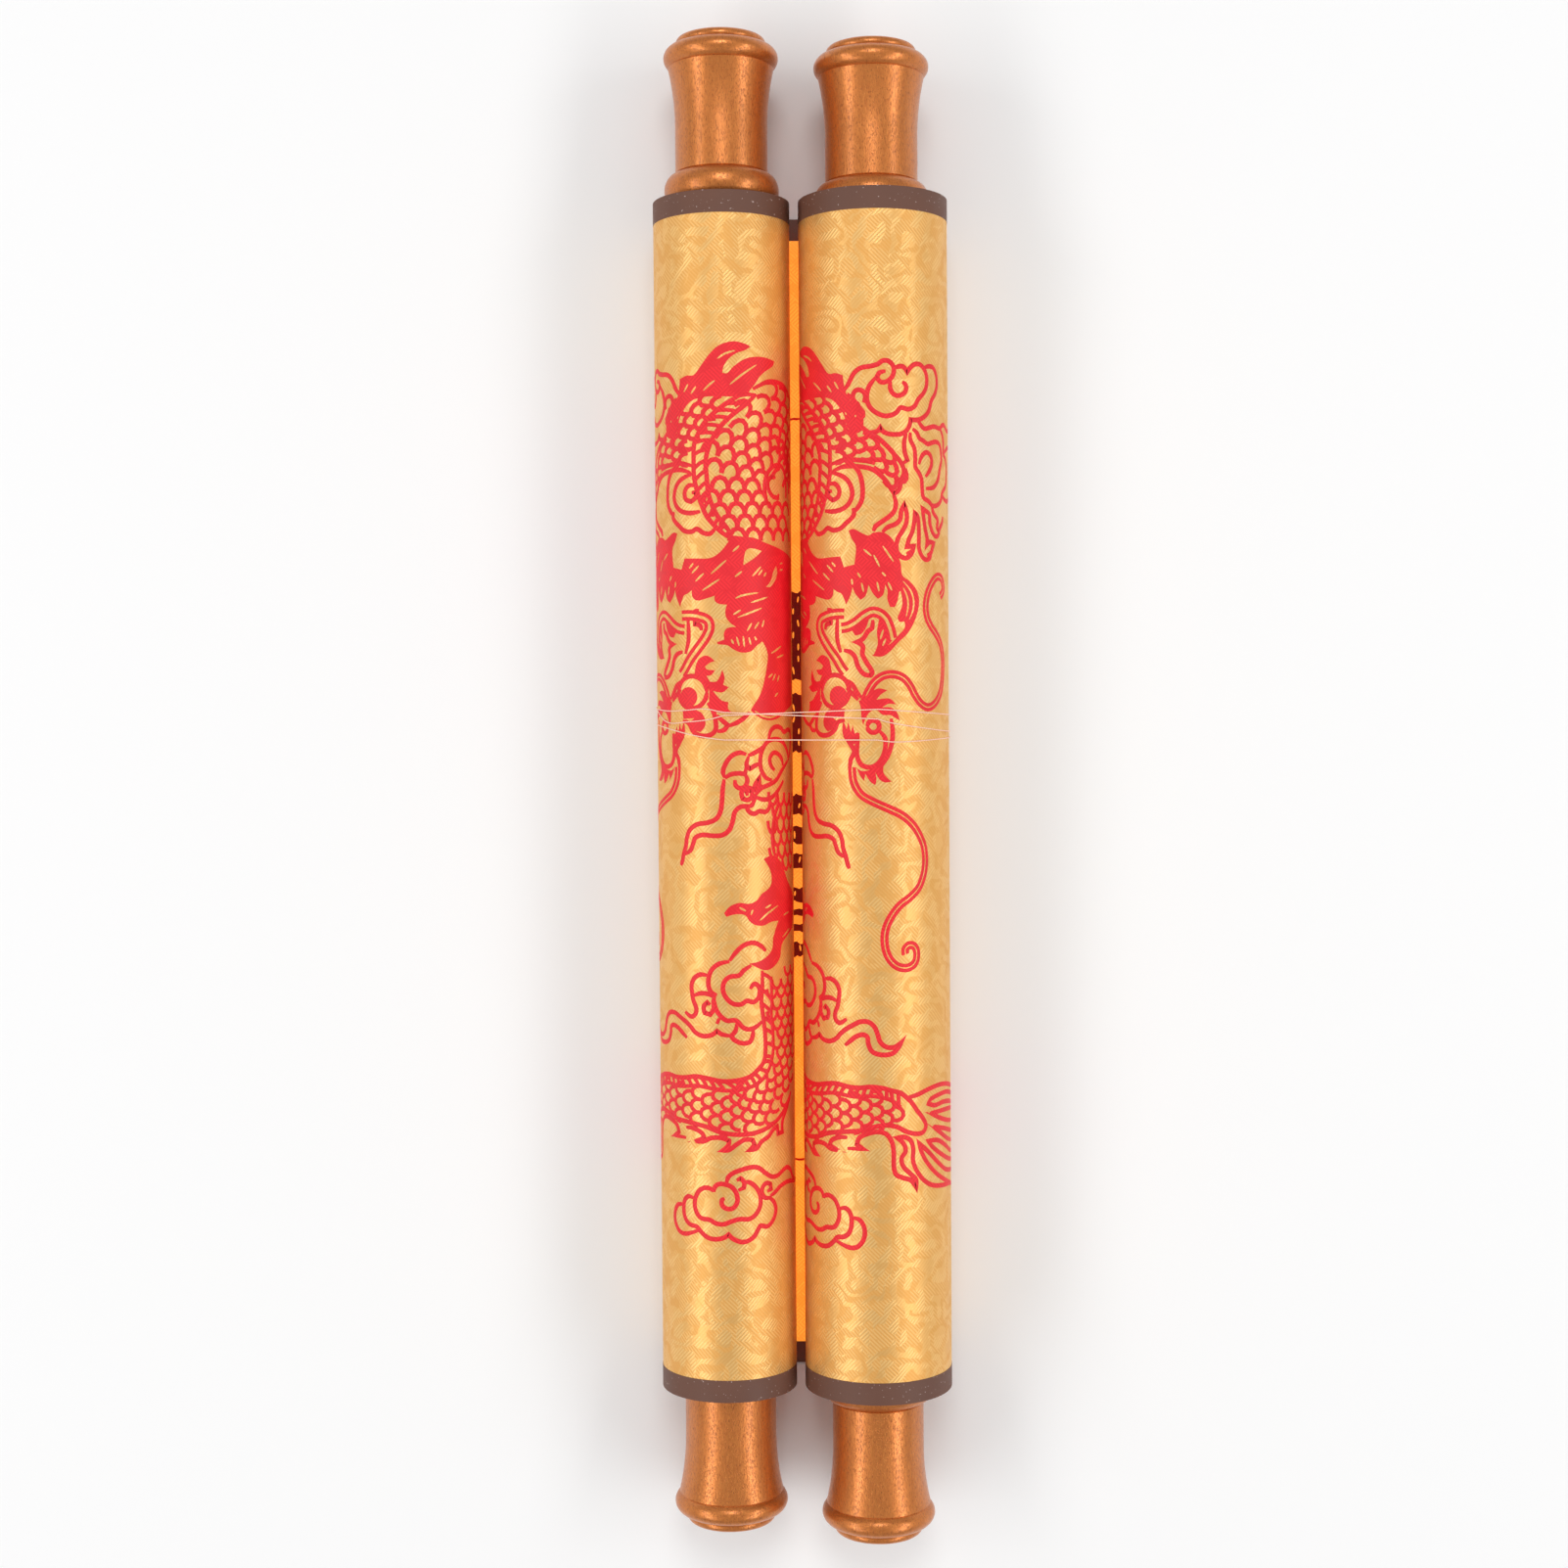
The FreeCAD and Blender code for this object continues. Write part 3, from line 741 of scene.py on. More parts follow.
# %% [markdown]
# The solid red parts: flame crest, mane, fangs, muzzle, ruff, beard and fins. Each has its
# outline, the slits between its strokes, and the larger gaps in it.
# %% Solid parts
SOLID_PARTS = {
    "crest": (
        "38,104.3 40,105 42,105 43.8,107 46,109.8 48.5,112 52,113 55,112.5 56.5,111.9 55,110.9"
        " 53,110.2 51,108.8 49.7,107 49.3,105.3 50.5,105.2 52,106.8 55,108.8 58,109.5 61,109.5"
        " 63.8,108.9 63.3,107.7 61,106.3 59,104.7 57.8,103 56.5,101.5 55,99.8 50,99.5 45,99.5"
        " 41,98.5 38,95 37,92 36,90.2 34.2,90 33,91 32.8,93.5 33.3,96 34,97.7 36,98 37.5,101",
        ["48,108.7 50,110 52.7,110.8", "51,102.3 54,104.8 58.3,107.7",
         "44.5,101 46,102.4 47.5,103.5", "41.2,100.4 42.6,102.2", "39.2,101 40.4,102.9",
         "34.8,92 34.8,94.5", "36.2,93 36.4,95.5", "37.2,94.5 37.4,96.8"],
        [],
    ),
    "mane": (
        "26,64.3 28,65.7 30.5,65.7 31.7,65 33.5,65.7 35.5,66.7 36.7,66.3 36,64.5 34.9,62.5"
        " 35,60 35.3,58 38,57.4 39,60.1 42,60 46,60 48.5,61.5 50.5,64 51.5,65.5 54,65.2 57,65"
        " 60,64 64,63 68,62 73,60.5 73,24 68,22.3 66,21.2 64,20.3 61.5,19.9 59,20.3 57,21.4"
        " 55.8,22.5 57,24.2 58,25.5 59,27.5 59.8,30 60.5,33 60.9,36 60.3,38 59.2,39.5 57.5,38.3"
        " 56,37 53.5,36.7 51.5,37.5 50,38.5 47.7,38.8 47.5,39.3 49.3,39.9 49.2,41.5 50,42.7"
        " 52.3,43 51,43.8 49.8,45.3 49.6,47 50,48.5 48,48.7 47,49.5 47,50.7 45,50.1 42.5,49.6"
        " 41.2,50.5 41,52.2 40,51.5 38.6,50.8 37.5,48.2 36.3,50.5 35.8,52.5 35.2,51 33.8,49.3"
        " 32.5,50.3 31.8,53 30.7,50.8 29.5,49.5 28.2,50.5 27.7,53 27.1,51.5 27.2,49.5 26.5,47.5"
        " 25.3,47.5 24.6,49 24.2,51 23.8,51.5 23.3,48.5 23.9,46.5 24.6,44.8 24,43.8 22.8,44"
        " 22.7,42.5 24.3,40.7 26.5,38.5 29,37.2 31,35.6 28.5,35.4 26.5,36.7 24.5,38.8 22,41"
        " 20.3,43.5 19,46.5 18.6,49.5 19.5,52 21.5,54 23.3,55.3 23.7,58 24.5,60.5 25,62.5",
        ["25.5,58.5 28.3,62.5", "29,57.3 30.5,60.3", "31,60 33,61.7", "27.5,55 28.5,56",
         "33.7,54.7 34.5,56", "26,51.5 27,53.6", "29.2,51.3 29.7,53.7", "33,51.2 33.5,53.5",
         "35.8,53 36,54.5", "23.3,54 21,51.5 20.2,49 20.5,46.5 21.6,44.3",
         "23.2,52.5 22,50 21.8,47.5 22.4,45", "46,56 50,59.5", "43.8,52 48.3,54.8",
         "42,54.3 44.3,56.3", "41,56.3 43,58.2", "40.3,57.6 41.5,58.8", "52,55.3 53.8,56.7",
         "51.5,61.5 53.2,63", "56.5,55.5 59,58", "58.2,55.8 59.5,57.3", "59.8,55.5 60.6,56.6",
         "52,50 54,50.8 58.3,51.5", "56,49 61,50.5", "51.5,46 53.5,47.2", "52.5,45.3 59.3,47.8",
         "55,42 56.3,44", "57,42.5 58.3,44.3", "59.2,43 59.8,44.8", "62,36.5 66,38.5",
         "64,35.5 67,36.3", "61,30.5 62.5,31.5", "62.5,29.8 63.5,31.5", "64.2,29.5 65,31.2",
         "63.2,25.8 64.5,26.8", "65.5,58.9 66.8,59.2", "65.5,57.3 67,57.6", "51,40 51.6,38.8",
         "52.3,40.6 53,38.3", "54,40.8 54.3,38", "55.5,40.5 56,38.6", "57,40.7 57.6,39.7",
         "56.8,22.4 59,21.1 62,20.7 65.5,21.8"],
        ["54.2,58.2 54.7,61.5 56,62.4 59.3,61.8 57.5,60.3 55.5,59",
         "60.5,53 62,54.5 63,57 64,58.4 64.5,56.5 63.3,54.3 61.8,53"],
    ),
    "long_fangs": (
        "29.2,44.6 27.8,42.2 26.9,40 26,39.3 28,37.3 30.5,36 29.6,38.5 29.8,41.5",
        ["27.6,39.8 28.4,38", "28.2,42 29,39.6"],
        [],
    ),
    "short_fangs": ("31.6,45 32.3,42.8 33.6,41 35.2,40.6 36.2,42.2 34.5,43.3 33,44.5", [], []),
    "mouth_corner": ("40.3,46.7 42,47.6 43,47.5 42.6,46.3", [], []),
    "iris": (
        " ".join(
            f"{39.8 + 2.5 * math.cos(turn):.3f},{25.8 + 2.5 * math.sin(turn):.3f}"
            for turn in (math.tau * i / 20 for i in range(20))
        ),
        [],
        [],
    ),
    "muzzle": (
        "38,22.7 41,22.6 43,22.2 44.2,20.6 44.3,18.6 43,17.1 41,18 40.2,19.7 41.5,20.6 38.2,20.4",
        [],
        [],
    ),
    "ruff": (
        "41.6,31.5 42.1,34 43,35.4 45,36 46.9,34.6 45.8,34.3 44.4,33.3 44.9,32.6 46.9,32.4"
        " 46,31.2 44.8,31 45.6,29.6 47.4,29.7 48.7,32.5 49.3,30.5 48.9,28.8 50.3,28.2 48.7,26.9"
        " 46.4,27.3 47.6,25.8 48.6,24.9 50.2,24.5 50.1,22.9 51,22 49,21.8 46.6,22.4 45.4,24.5"
        " 45.4,27.5 44.2,30",
        [],
        [],
    ),
    "nostril_mane": (
        "33.5,25 31.6,26.5 29.5,27.6 27.3,27.1 29,26 30,24.8 28.3,25.1 26.5,25 25.2,23.6"
        " 27,23.8 28.6,22.9 26.5,22.9 24.9,21.7 24.2,19.7 25.5,20.4 26.5,21 28.5,21.1 30,22.3"
        " 31.5,21.9 32.6,20.4 33.3,18.6 33.7,20.5 33.9,23 34.4,24.6",
        [],
        [],
    ),
    "beard": (
        "28.2,9.5 28.4,7.3 27.4,5.9 26.4,5 28,4.8 29.4,5.6 30.4,7.4 30.1,5.5 30.4,4.2 31.6,5"
        " 32.8,6.9 33.2,5.2 34.2,6.6 35,8.4 33.8,7.6 31.5,7.9 29.6,9",
        [],
        [],
    ),
    "teeth": (
        "34.6,17 35.4,16.6 36,18.7 36.4,16.9 37.1,19.4 37.5,17.6 38.4,19.8 38.6,16.5 36.6,14"
        " 35.4,14.2",
        [],
        [],
    ),
    "fins": (
        "63,-14 61,-13.8 59.2,-14.6 60.5,-16.3 61.5,-18.3 61.5,-20.8 60.5,-22 58.5,-23.2"
        " 57,-24.8 55,-25.5 52.5,-25.2 50.2,-26 48.7,-27.7 49.3,-28.6 51.5,-28 54,-28.3"
        " 55,-29.7 56.5,-30.8 59,-31.1 61.5,-30.3 64,-30.2 63,-32 62,-34.5 61.7,-37 60,-38.8"
        " 57.5,-40 55,-40.3 56.5,-41.2 59.5,-42.3 62,-41.7 64.5,-39.5 65,-37 66,-35.5 69,-33.8"
        " 72,-32 73,-25 70,-22 68,-20 66.5,-17.5 64.8,-15.2",
        ["57.7,-29.9 60.5,-28 64,-26.3", "59.5,-26.8 61.5,-26", "52.5,-26.3 54.2,-27.3",
         "55.5,-28.3 56,-27", "66,-29 69,-28.3", "65.5,-34.5 69.5,-32.5"],
        [],
    ),
}

# %% [markdown]
# Scales are round arcs in staggered rows across the body, each row offset by half a scale.
# They face along a middle line and are kept inside the area of that part of the body. Short
# bars cross the belly between its two lines.
# %% Scales and belly bars
def scale_arc(centre, facing, width, height):
    """One scale: a round arc whose bulge points the way it faces."""
    side = Vector((-facing.y, facing.x, 0)) * width * 0.52
    turns = [math.pi * step / 6 for step in range(7)]
    return [centre + side * math.cos(turn) + facing * height * math.sin(turn) for turn in turns]


def scales_along(spine, half_width, size, area=None, bare=None):
    """Staggered scales across a body, facing along its middle line, kept inside an area.

    size is how wide a scale is, and how far one row of scales is from the next.
    """
    width, row_step = size
    path = smooth_path(points_of(spine), per_span=12)
    scales, walked, row = [], 0.0, 0
    for here, following in zip(path, path[1:]):
        walked += (following - here).length
        if walked < row_step:
            continue
        walked, row = 0.0, row + 1
        facing = (following - here).normalized()
        side = Vector((-facing.y, facing.x, 0))
        count = int(2 * half_width / width) + row % 2
        for place in range(count):
            spot = here + side * (place - (count - 1) / 2) * width
            middle = spot + facing * row_step * 0.5
            if area and not holds(area, middle.x, middle.y):
                continue
            if bare and holds(bare, middle.x, middle.y):
                continue
            scales.append(scale_arc(spot, facing, width, row_step * 1.12))
    return scales


def bars_between(first, second, count):
    """Short bars that join two lines."""
    bars = []
    paths = [smooth_path(line, per_span=8) for line in (first, second)]
    for number in range(count):
        share = (number + 0.5) / count
        ends = [path[int(share * (len(path) - 1))] for path in paths]
        bars.append([ends[0], ends[0].lerp(ends[1], 0.5) + Vector((0, 0.25, 0)), ends[1]])
    return bars


COIL_AREA = points_of(
    "45.9,87.5 45,84 45.2,80 45.5,76.5 46.3,73.5 48,70 50,67.5 52,65.5 58,65 64,63.5 73,61"
    " 73,101 70,102.5 66,103.8 61,103.4 58,100.3 55,97.6 52,95.3 49,92.5 47.3,90.2"
)
COIL_SWIRL = points_of("69.5,75 69,81 66,84 62,83.5 59.5,79 59.8,74 62,72 67,73")
NECK_AREA = points_of(
    "33,91 34.5,97 38,98.3 41,98.6 45,99.6 50,99.6 47.5,95.8 45,93.5 43.3,91 42,88.3 38,88 34,89"
)
LIMB_AREA = points_of(
    "33,90.5 29,88.5 26,85.5 23,82 23.5,78 25.2,76 27.5,80 30,82.5 34,84 40,84.3 42,88.5 37,90"
)
coil_scales = scales_along(
    "55,62 54.8,68 54.6,74 55,80 57.5,86.5 61,91.5 67,94.5 75,95.5 80,94",
    14.5, (4.1, 2.75), COIL_AREA, COIL_SWIRL,
)
coil_scales += scales_along("52,97 46,95.5 40,93.5 34,91", 5.5, (3.3, 2.6), NECK_AREA)
coil_scales += scales_along(
    "42,87.5 37,87.3 32,86.3 28,83.5 25,79.5 24,76", 4.2, (3.0, 2.4), LIMB_AREA
)
tail_scales = scales_along("67,4 66.6,-4 66.8,-10 67.5,-16", 5.0, (3.0, 2.9))
tail_scales += scales_along(
    "66.5,-40 66.5,-50 66.5,-60 65.8,-66 62,-72.5 54,-76.6 44,-76 36,-75.3 28,-75 18,-78",
    5.4, (3.3, 2.15), TAIL_AREA,
)
bars = bars_between(*COIL_BELLY, 17)
bars += bars_between(TAIL_EDGE[:7], TAIL_BORDER[:6], 7)
bars += bars_between(TAIL_EDGE[6:19], TAIL_BORDER[5:], 20)
print(len(coil_scales) + len(tail_scales), "scales and", len(bars), "belly bars")

# %% [markdown]
# All strokes become one flat mesh, and each roll takes its own copy. The drawing ends before
# the outer side of the right roll, so the nearest clouds and tail hair go on there mirrored.
# Bending keeps a point's height over the cloth: the outer side of a roll is its first half
# turn, and the side at the gap is the second, which has a smaller radius and a higher centre.
# %% Laying the print on the rolls
CROWN_IN_PRINT = {"left": 49.1, "right": 29.7}
RIGHT_STRETCH_FROM = 20.0
RIGHT_STRETCH = 0.02
# Strokes that start and end this near the drawing's edge also go on the far side, mirrored
FAR_STARTS = 23
FAR_ENDS = 27
END_TAPER = 0.6


def on_roll(side, arc, along, height):
    """A place on the outer turn of a roll: arc is how far round from the crown, towards +X."""
    roll = ROLLS[side]
    first, second = roll["half_turns"][:2]
    centre_z, radius = first[:2] if arc * roll["outward"] >= 0 else second[:2]
    turn, reach = arc / radius, radius + height
    across = roll["x"] + reach * math.sin(turn)
    return Vector((across, along, centre_z + reach * math.cos(turn))) * MM


def print_on_roll(drawing, side, name):
    """A copy of the flat drawing, bent round a roll; the right one is mirrored."""
    piece = new_object(name, drawing.data.copy())
    for vertex in piece.data.vertices:
        across, along, height = vertex.co
        if side == "left":
            arc = across - CROWN_IN_PRINT["left"]
        else:
            arc = CROWN_IN_PRINT["right"] - across
            along -= max(0.0, RIGHT_STRETCH_FROM - along) * RIGHT_STRETCH
        vertex.co = on_roll(side, arc, along + SHEET_MIDDLE, height)
    if side == "right":
        select_only(piece)
        bpy.ops.object.mode_set(mode="EDIT")
        bpy.ops.mesh.select_all(action="SELECT")
        bpy.ops.mesh.flip_normals()
        bpy.ops.object.mode_set(mode="OBJECT")
    return piece


def mark_flat_places(piece):
    """Keep each corner's place on the flat sheet as its UV, and no other UV."""
    layers = piece.data.uv_layers
    while len(layers):
        layers.remove(layers[0])
    layer = layers.new(name="sheet_mm")
    for loop in piece.data.loops:
        layer.data[loop.index].uv = piece.data.vertices[loop.vertex_index].co.to_2d()


plain_line = line_section("plain_line", 1.28)
fine_line = line_section("fine_line", 1.08)
whisker_line = line_section("whisker_line", 0.96, (-0.58, 0.58))
lip_line = line_section("lip_line", 1.0, (-0.85, 0.85))
outlines = CLOUD_STROKES + LIMB_STROKES + COIL_BELLY + COIL_STROKES + HEAD_STROKES
outlines += EYE_RINGS + BODY_STROKES + [TAIL_EDGE]
drawing_parts = [
    draw_lines("outlines", outlines, plain_line, taper=END_TAPER),
    draw_lines("coil_scales", coil_scales, plain_line, per_span=1),
    draw_lines("tail_scales", tail_scales, fine_line, per_span=1),
    draw_lines("border", [TAIL_BORDER] + bars, fine_line, per_span=3),
    draw_lines("whiskers", WHISKERS, whisker_line, per_span=8),
    draw_lines("lips", LIPS, lip_line, per_span=8),
]
for part, (outline, slits, gaps) in SOLID_PARTS.items():
    edge = smooth_path(points_of(outline), closed=True, per_span=4)
    openings = [slit_outline(points_of(slit)) for slit in slits]
    openings += [smooth_path(points_of(gap), closed=True, per_span=3) for gap in gaps]
    drawing_parts.append(fill_area(part, edge, openings))
drawing = join_pieces(drawing_parts)
far_strokes = [
    [Vector((-point.x, point.y, 0)) for point in stroke]
    for stroke in CLOUD_STROKES + BODY_STROKES
    if min(p.x for p in stroke) < FAR_STARTS and max(p.x for p in stroke) < FAR_ENDS
]
far_clouds = draw_lines("far_clouds", far_strokes, plain_line, taper=END_TAPER)
mark_flat_places(drawing)
mark_flat_places(far_clouds)
prints = [print_on_roll(drawing, side, f"{side}_dragon_print") for side in ROLLS]
join_pieces([print_on_roll(far_clouds, "right", "far_side_clouds"), prints[1]])
for piece in (drawing, far_clouds, plain_line, fine_line, whisker_line, lip_line):
    bpy.data.objects.remove(piece)
for piece in prints:
    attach(piece, "root")
print("print:", [len(piece.data.polygons) for piece in prints], "faces")

# %% [markdown]
# On the inner face, between the rolls, a few marks of the sheet's own printing can be seen in the
# narrow gap, coloured with painted shade. They are plain blocks with uneven ends and a few slits.
# %% Marks on the inner face
MARK_SPANS = [
    (28.9, 51.7), (9.9, 25.0), (-6.5, -1.4), (-14.2, -9.9), (-20.7, -17.1), (-29.6, -26.1),
    (-33.2, -31.4), (-37.6, -35.6), (-44.0, -40.4), (96.4, 97.0), (-98.0, -97.4),
]
MARK_PLACES = [-4.5 + step * 0.7 for step in range(10)]
END_WOBBLE = 0.45
SLIT_ROOM, FIRST_SLIT, SLIT_STEP, SLIT_WIDTH = 3.2, 2.2, 3.1, 0.45
wobble = random.Random(7)
marks = []
for number, (low_y, high_y) in enumerate(MARK_SPANS):
    deep = min(END_WOBBLE, (high_y - low_y) / 6)
    outline = [Vector((x, low_y + wobble.uniform(-deep, deep), 0)) for x in MARK_PLACES]
    outline += [
        Vector((x, high_y + wobble.uniform(-deep, deep), 0)) for x in reversed(MARK_PLACES)
    ]
    slits = []
    for spot in range(int((high_y - low_y) / SLIT_ROOM)):
        middle = Vector((wobble.choice((-2.2, -0.9)), low_y + FIRST_SLIT + spot * SLIT_STEP, 0))
        lean = Vector((wobble.uniform(-0.2, 0.2), wobble.uniform(0.5, 1.1), 0))
        slits.append(slit_outline([middle - lean, middle + lean], SLIT_WIDTH))
    marks.append(fill_area(f"mark_{number}", outline, slits))
inner_marks = join_pieces(marks)
inner_marks.name = "inner_face_marks"
inner_marks.data.transform(Matrix.Translation((0, 0, SHEET_THICKNESS)))
inner_marks.data.transform(Matrix.Scale(MM, 4))
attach(inner_marks, "root")
print("inner marks:", len(inner_marks.data.polygons), "faces")

# %% [markdown]
# A fine pale thread holds the scroll shut: it goes three times round both rolls, over the two
# crowns and flat under the strip. Where two turns cross, the upper one is lifted.
# %% Tie thread
THREAD_RADIUS = 0.13
THREAD_CLEARANCE = 0.04
THREAD_STEP = 5
# On the crowns, the second turn rises by the lift where it comes this near to the first
CROSSING_LIFT = 0.3
CROSSING_REACH = 0.8
CROWN_FROM_Z = 20
THREAD_TURNS = [
    "-37.5,24 -34.3,19.7 -28.7,19.7 -23.6,20.2 -18.9,21.4 -13.8,22.3 -8.7,22.8 -3.8,22.4"
    " 1.5,22.8 4.2,24 8.8,24 12.5,22.9 21,22.3 30,21.6 37,21",
    "-36.7,22.9 -33.8,22.4 -28.7,22.6 -24.5,22.9 -18.9,21.9 -13.8,22.6 -8.7,23.3 -3.6,23.8"
    " 5.2,23.8 12,22.4 15.9,20.9 21,19.2 33.7,17.2 37,16.8",
    "-37,19 -28,16.5 -20,15.2 -10.4,14.6 -5.8,13.7 1.5,13.7 6.9,15.3 9.8,15.8 14.4,15.6"
    " 22.2,14.4 37.1,15.3",
]


def place_on(turn, across):
    """How far along the scroll a turn of thread lies, at a place across it."""
    for here, following in zip(turn, turn[1:]):
        if across <= following.x:
            share = max(0.0, (across - here.x) / (following.x - here.x))
            return here.y + (following.y - here.y) * share
    return turn[-1].y


turns = [smooth_path(points_of(text), per_span=6) for text in THREAD_TURNS]
thread_height = INK_TOP + THREAD_RADIUS + THREAD_CLEARANCE
stops = [("left", degrees) for degrees in range(-180, 1, THREAD_STEP)]
stops += [("right", degrees) for degrees in range(0, 181, THREAD_STEP)]
thread_path = []
for number, turn in enumerate(turns):
    for side, degrees in stops:
        arc = math.radians(degrees) * ROLLS[side]["radius"]
        spot = on_roll(side, arc, 0, thread_height) / MM
        along = place_on(turn, spot.x)
        if number == 1 and spot.z > CROWN_FROM_Z:
            gap = abs(along - place_on(turns[0], spot.x))
            spot.z += CROSSING_LIFT * max(0.0, 1 - gap / CROSSING_REACH)
        thread_path.append(Vector((spot.x, along + SHEET_MIDDLE, spot.z)))
data = bpy.data.curves.new("tie_thread", "CURVE")
data.dimensions = "3D"
data.bevel_depth = THREAD_RADIUS
data.bevel_resolution = 2
data.use_fill_caps = True
spline = data.splines.new("POLY")
spline.points.add(len(thread_path) - 1)
for point, place in zip(spline.points, thread_path):
    point.co = (*place, 1)
select_only(new_object("tie_thread", data))
bpy.ops.object.convert(target="MESH")
thread = bpy.context.object
thread.data.transform(Matrix.Scale(MM, 4))
thread_length = sum((b - a).length for a, b in zip(thread_path, thread_path[1:]))
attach(thread, "root")
print("thread:", round(thread_length), "mm long,", len(thread.data.polygons), "faces")

# %% [markdown]
# Three effects are used by more than one finish, so each is a node group: the damask weave of
# the cloth and the print on it, the open grain of turned wood, and fine dust and wear.
# %% Node groups
def new_group(name):
    """A shader node group, and the place on the surface that it is given."""
    tree = bpy.data.node_groups.new(name, "ShaderNodeTree")
    tree.interface.new_socket(name="Vector", in_out="INPUT", socket_type="NodeSocketVector")
    return tree, tree.nodes.new("NodeGroupInput").outputs["Vector"]


def give(tree, **values):
    """End a group with the values that it hands out."""
    for socket in values:
        tree.interface.new_socket(name=socket, in_out="OUTPUT", socket_type="NodeSocketFloat")
    group_out = tree.nodes.new("NodeGroupOutput")
    for socket, value in values.items():
        tree.links.new(value, group_out.inputs[socket])


def maths(tree, operation, *values):
    """The output of one Math node."""
    inputs = list(enumerate(values))
    return add_node(tree, "ShaderNodeMath", inputs, operation=operation).outputs[0]


def remap(tree, value, low, high, to_low=0.0, to_high=1.0):
    """A value stretched from one range to another and kept inside it, with soft ends."""
    inputs = [(0, value), (1, low), (2, high), (3, to_low), (4, to_high)]
    settings = {"interpolation_type": "SMOOTHSTEP"}
    return add_node(tree, "ShaderNodeMapRange", inputs, **settings).outputs[0]


def noise(tree, place, scale, detail, distortion=0.0):
    """The outputs of one noise texture."""
    inputs = [("Vector", place), ("Scale", scale), ("Detail", detail)]
    inputs.append(("Distortion", distortion))
    return add_node(tree, "ShaderNodeTexNoise", inputs).outputs


def turned_bands(tree, vector, degrees, pitch):
    """Fine parallel lines at an angle, a given pitch apart."""
    turn = [("Vector", vector), ("Rotation", (0, 0, math.radians(degrees)))]
    turned = add_node(tree, "ShaderNodeMapping", turn).outputs[0]
    inputs = [("Vector", turned), ("Scale", math.tau / 20 / pitch), ("Distortion", 0.0)]
    return add_node(tree, "ShaderNodeTexWave", inputs, wave_type="BANDS").outputs["Fac"]


# Damask weave: swirled cloud curls that turn the direction of a fine hatching
HATCH_PITCH = 0.75
SWIRL_REACH = 16
RINGS_IN_CURL = 15.0
weave, place = new_group("damask_weave")
drift = add_node(
    weave, "ShaderNodeVectorMath",
    [(0, noise(weave, place, 0.11, 2.0)["Color"]), (1, (0.5, 0.5, 0.5))],
    operation="SUBTRACT",
).outputs[0]
swirled = add_node(
    weave, "ShaderNodeVectorMath",
    [(0, drift), (1, (SWIRL_REACH, SWIRL_REACH, 0)), (2, place)],
    operation="MULTIPLY_ADD",
).outputs[0]
cells = add_node(
    weave, "ShaderNodeTexVoronoi", [("Vector", swirled), ("Scale", 0.105)],
    voronoi_dimensions="2D",
).outputs["Distance"]
curls = maths(weave, "SINE", maths(weave, "MULTIPLY", cells, RINGS_IN_CURL))
motif = remap(weave, curls, -0.25, 0.25)
plain_ground = remap(weave, noise(weave, place, 0.19, 3.0)["Fac"], 0.5, 0.56)
rising = turned_bands(weave, place, 45, HATCH_PITCH)
falling = turned_bands(weave, place, -45, HATCH_PITCH)
hatch = add_node(weave, "ShaderNodeMix", [(0, motif), (2, rising), (3, falling)]).outputs[0]
hatch = maths(weave, "MULTIPLY", hatch, remap(weave, plain_ground, 0.0, 1.0, 1.0, 0.35))
crinkle = noise(weave, place, 0.9, 4.0)["Fac"]
height = maths(weave, "MULTIPLY_ADD", crinkle, 0.5, maths(weave, "MULTIPLY", hatch, 0.6))
height = maths(weave, "MULTIPLY_ADD", motif, 0.08, height)
give(weave, Motif=motif, Hatch=hatch, Height=height)

# Open grain: pores and waves stretched along the rod
GRAIN_STRETCH = 0.3
grain, place = new_group("turned_wood_grain")
long_way = add_node(
    grain, "ShaderNodeMapping", [("Vector", place), ("Scale", (1, GRAIN_STRETCH, 1))]
).outputs[0]
waves = noise(grain, long_way, 2000.0, 4.0, 0.6)["Fac"]
open_pores = remap(grain, noise(grain, long_way, 4200.0, 2.0, 0.3)["Fac"], 0.52, 0.66)
height = maths(grain, "MULTIPLY_ADD", waves, 0.8, maths(grain, "MULTIPLY", open_pores, -0.5))
give(grain, Pores=open_pores, Waves=waves, Height=height)

# Dust and wear: soft blotches with a few small specks
wear, place = new_group("dust_and_wear")
blotches = noise(wear, place, 90.0, 4.0)["Fac"]
specks = remap(wear, noise(wear, place, 1500.0, 1.0)["Fac"], 0.7, 0.76)
give(wear, Blotches=blotches, Specks=specks)


def use_group(tree, group, vector):
    """The outputs of a node group, put to use in a material."""
    node = tree.nodes.new("ShaderNodeGroup")
    node.node_tree = group
    tree.links.new(vector, node.inputs["Vector"])
    return node.outputs


def sheet_place(tree):
    """Where a point lies on the flat sheet, in millimetres."""
    return add_node(tree, "ShaderNodeUVMap", uv_map="sheet_mm").outputs[0]


def object_place(tree):
    """Where a point lies in its own piece, in metres."""
    return add_node(tree, "ShaderNodeTexCoord").outputs["Object"]


def mix_colours(tree, share, *ends):
    """A colour between two, each an output or a colour named as 0 to 255 on screen."""
    first, second = (paper_colour(*end) if isinstance(end, tuple) else end for end in ends)
    inputs = [(0, share), (6, first), (7, second)]
    return add_node(tree, "ShaderNodeMix", inputs, data_type="RGBA").outputs[2]


def bumps(tree, height, depth):
    """A surface normal roughened by a height; depth is in millimetres."""
    inputs = [("Height", height), ("Distance", depth * MM), ("Strength", 1.0)]
    return add_node(tree, "ShaderNodeBump", inputs).outputs[0]


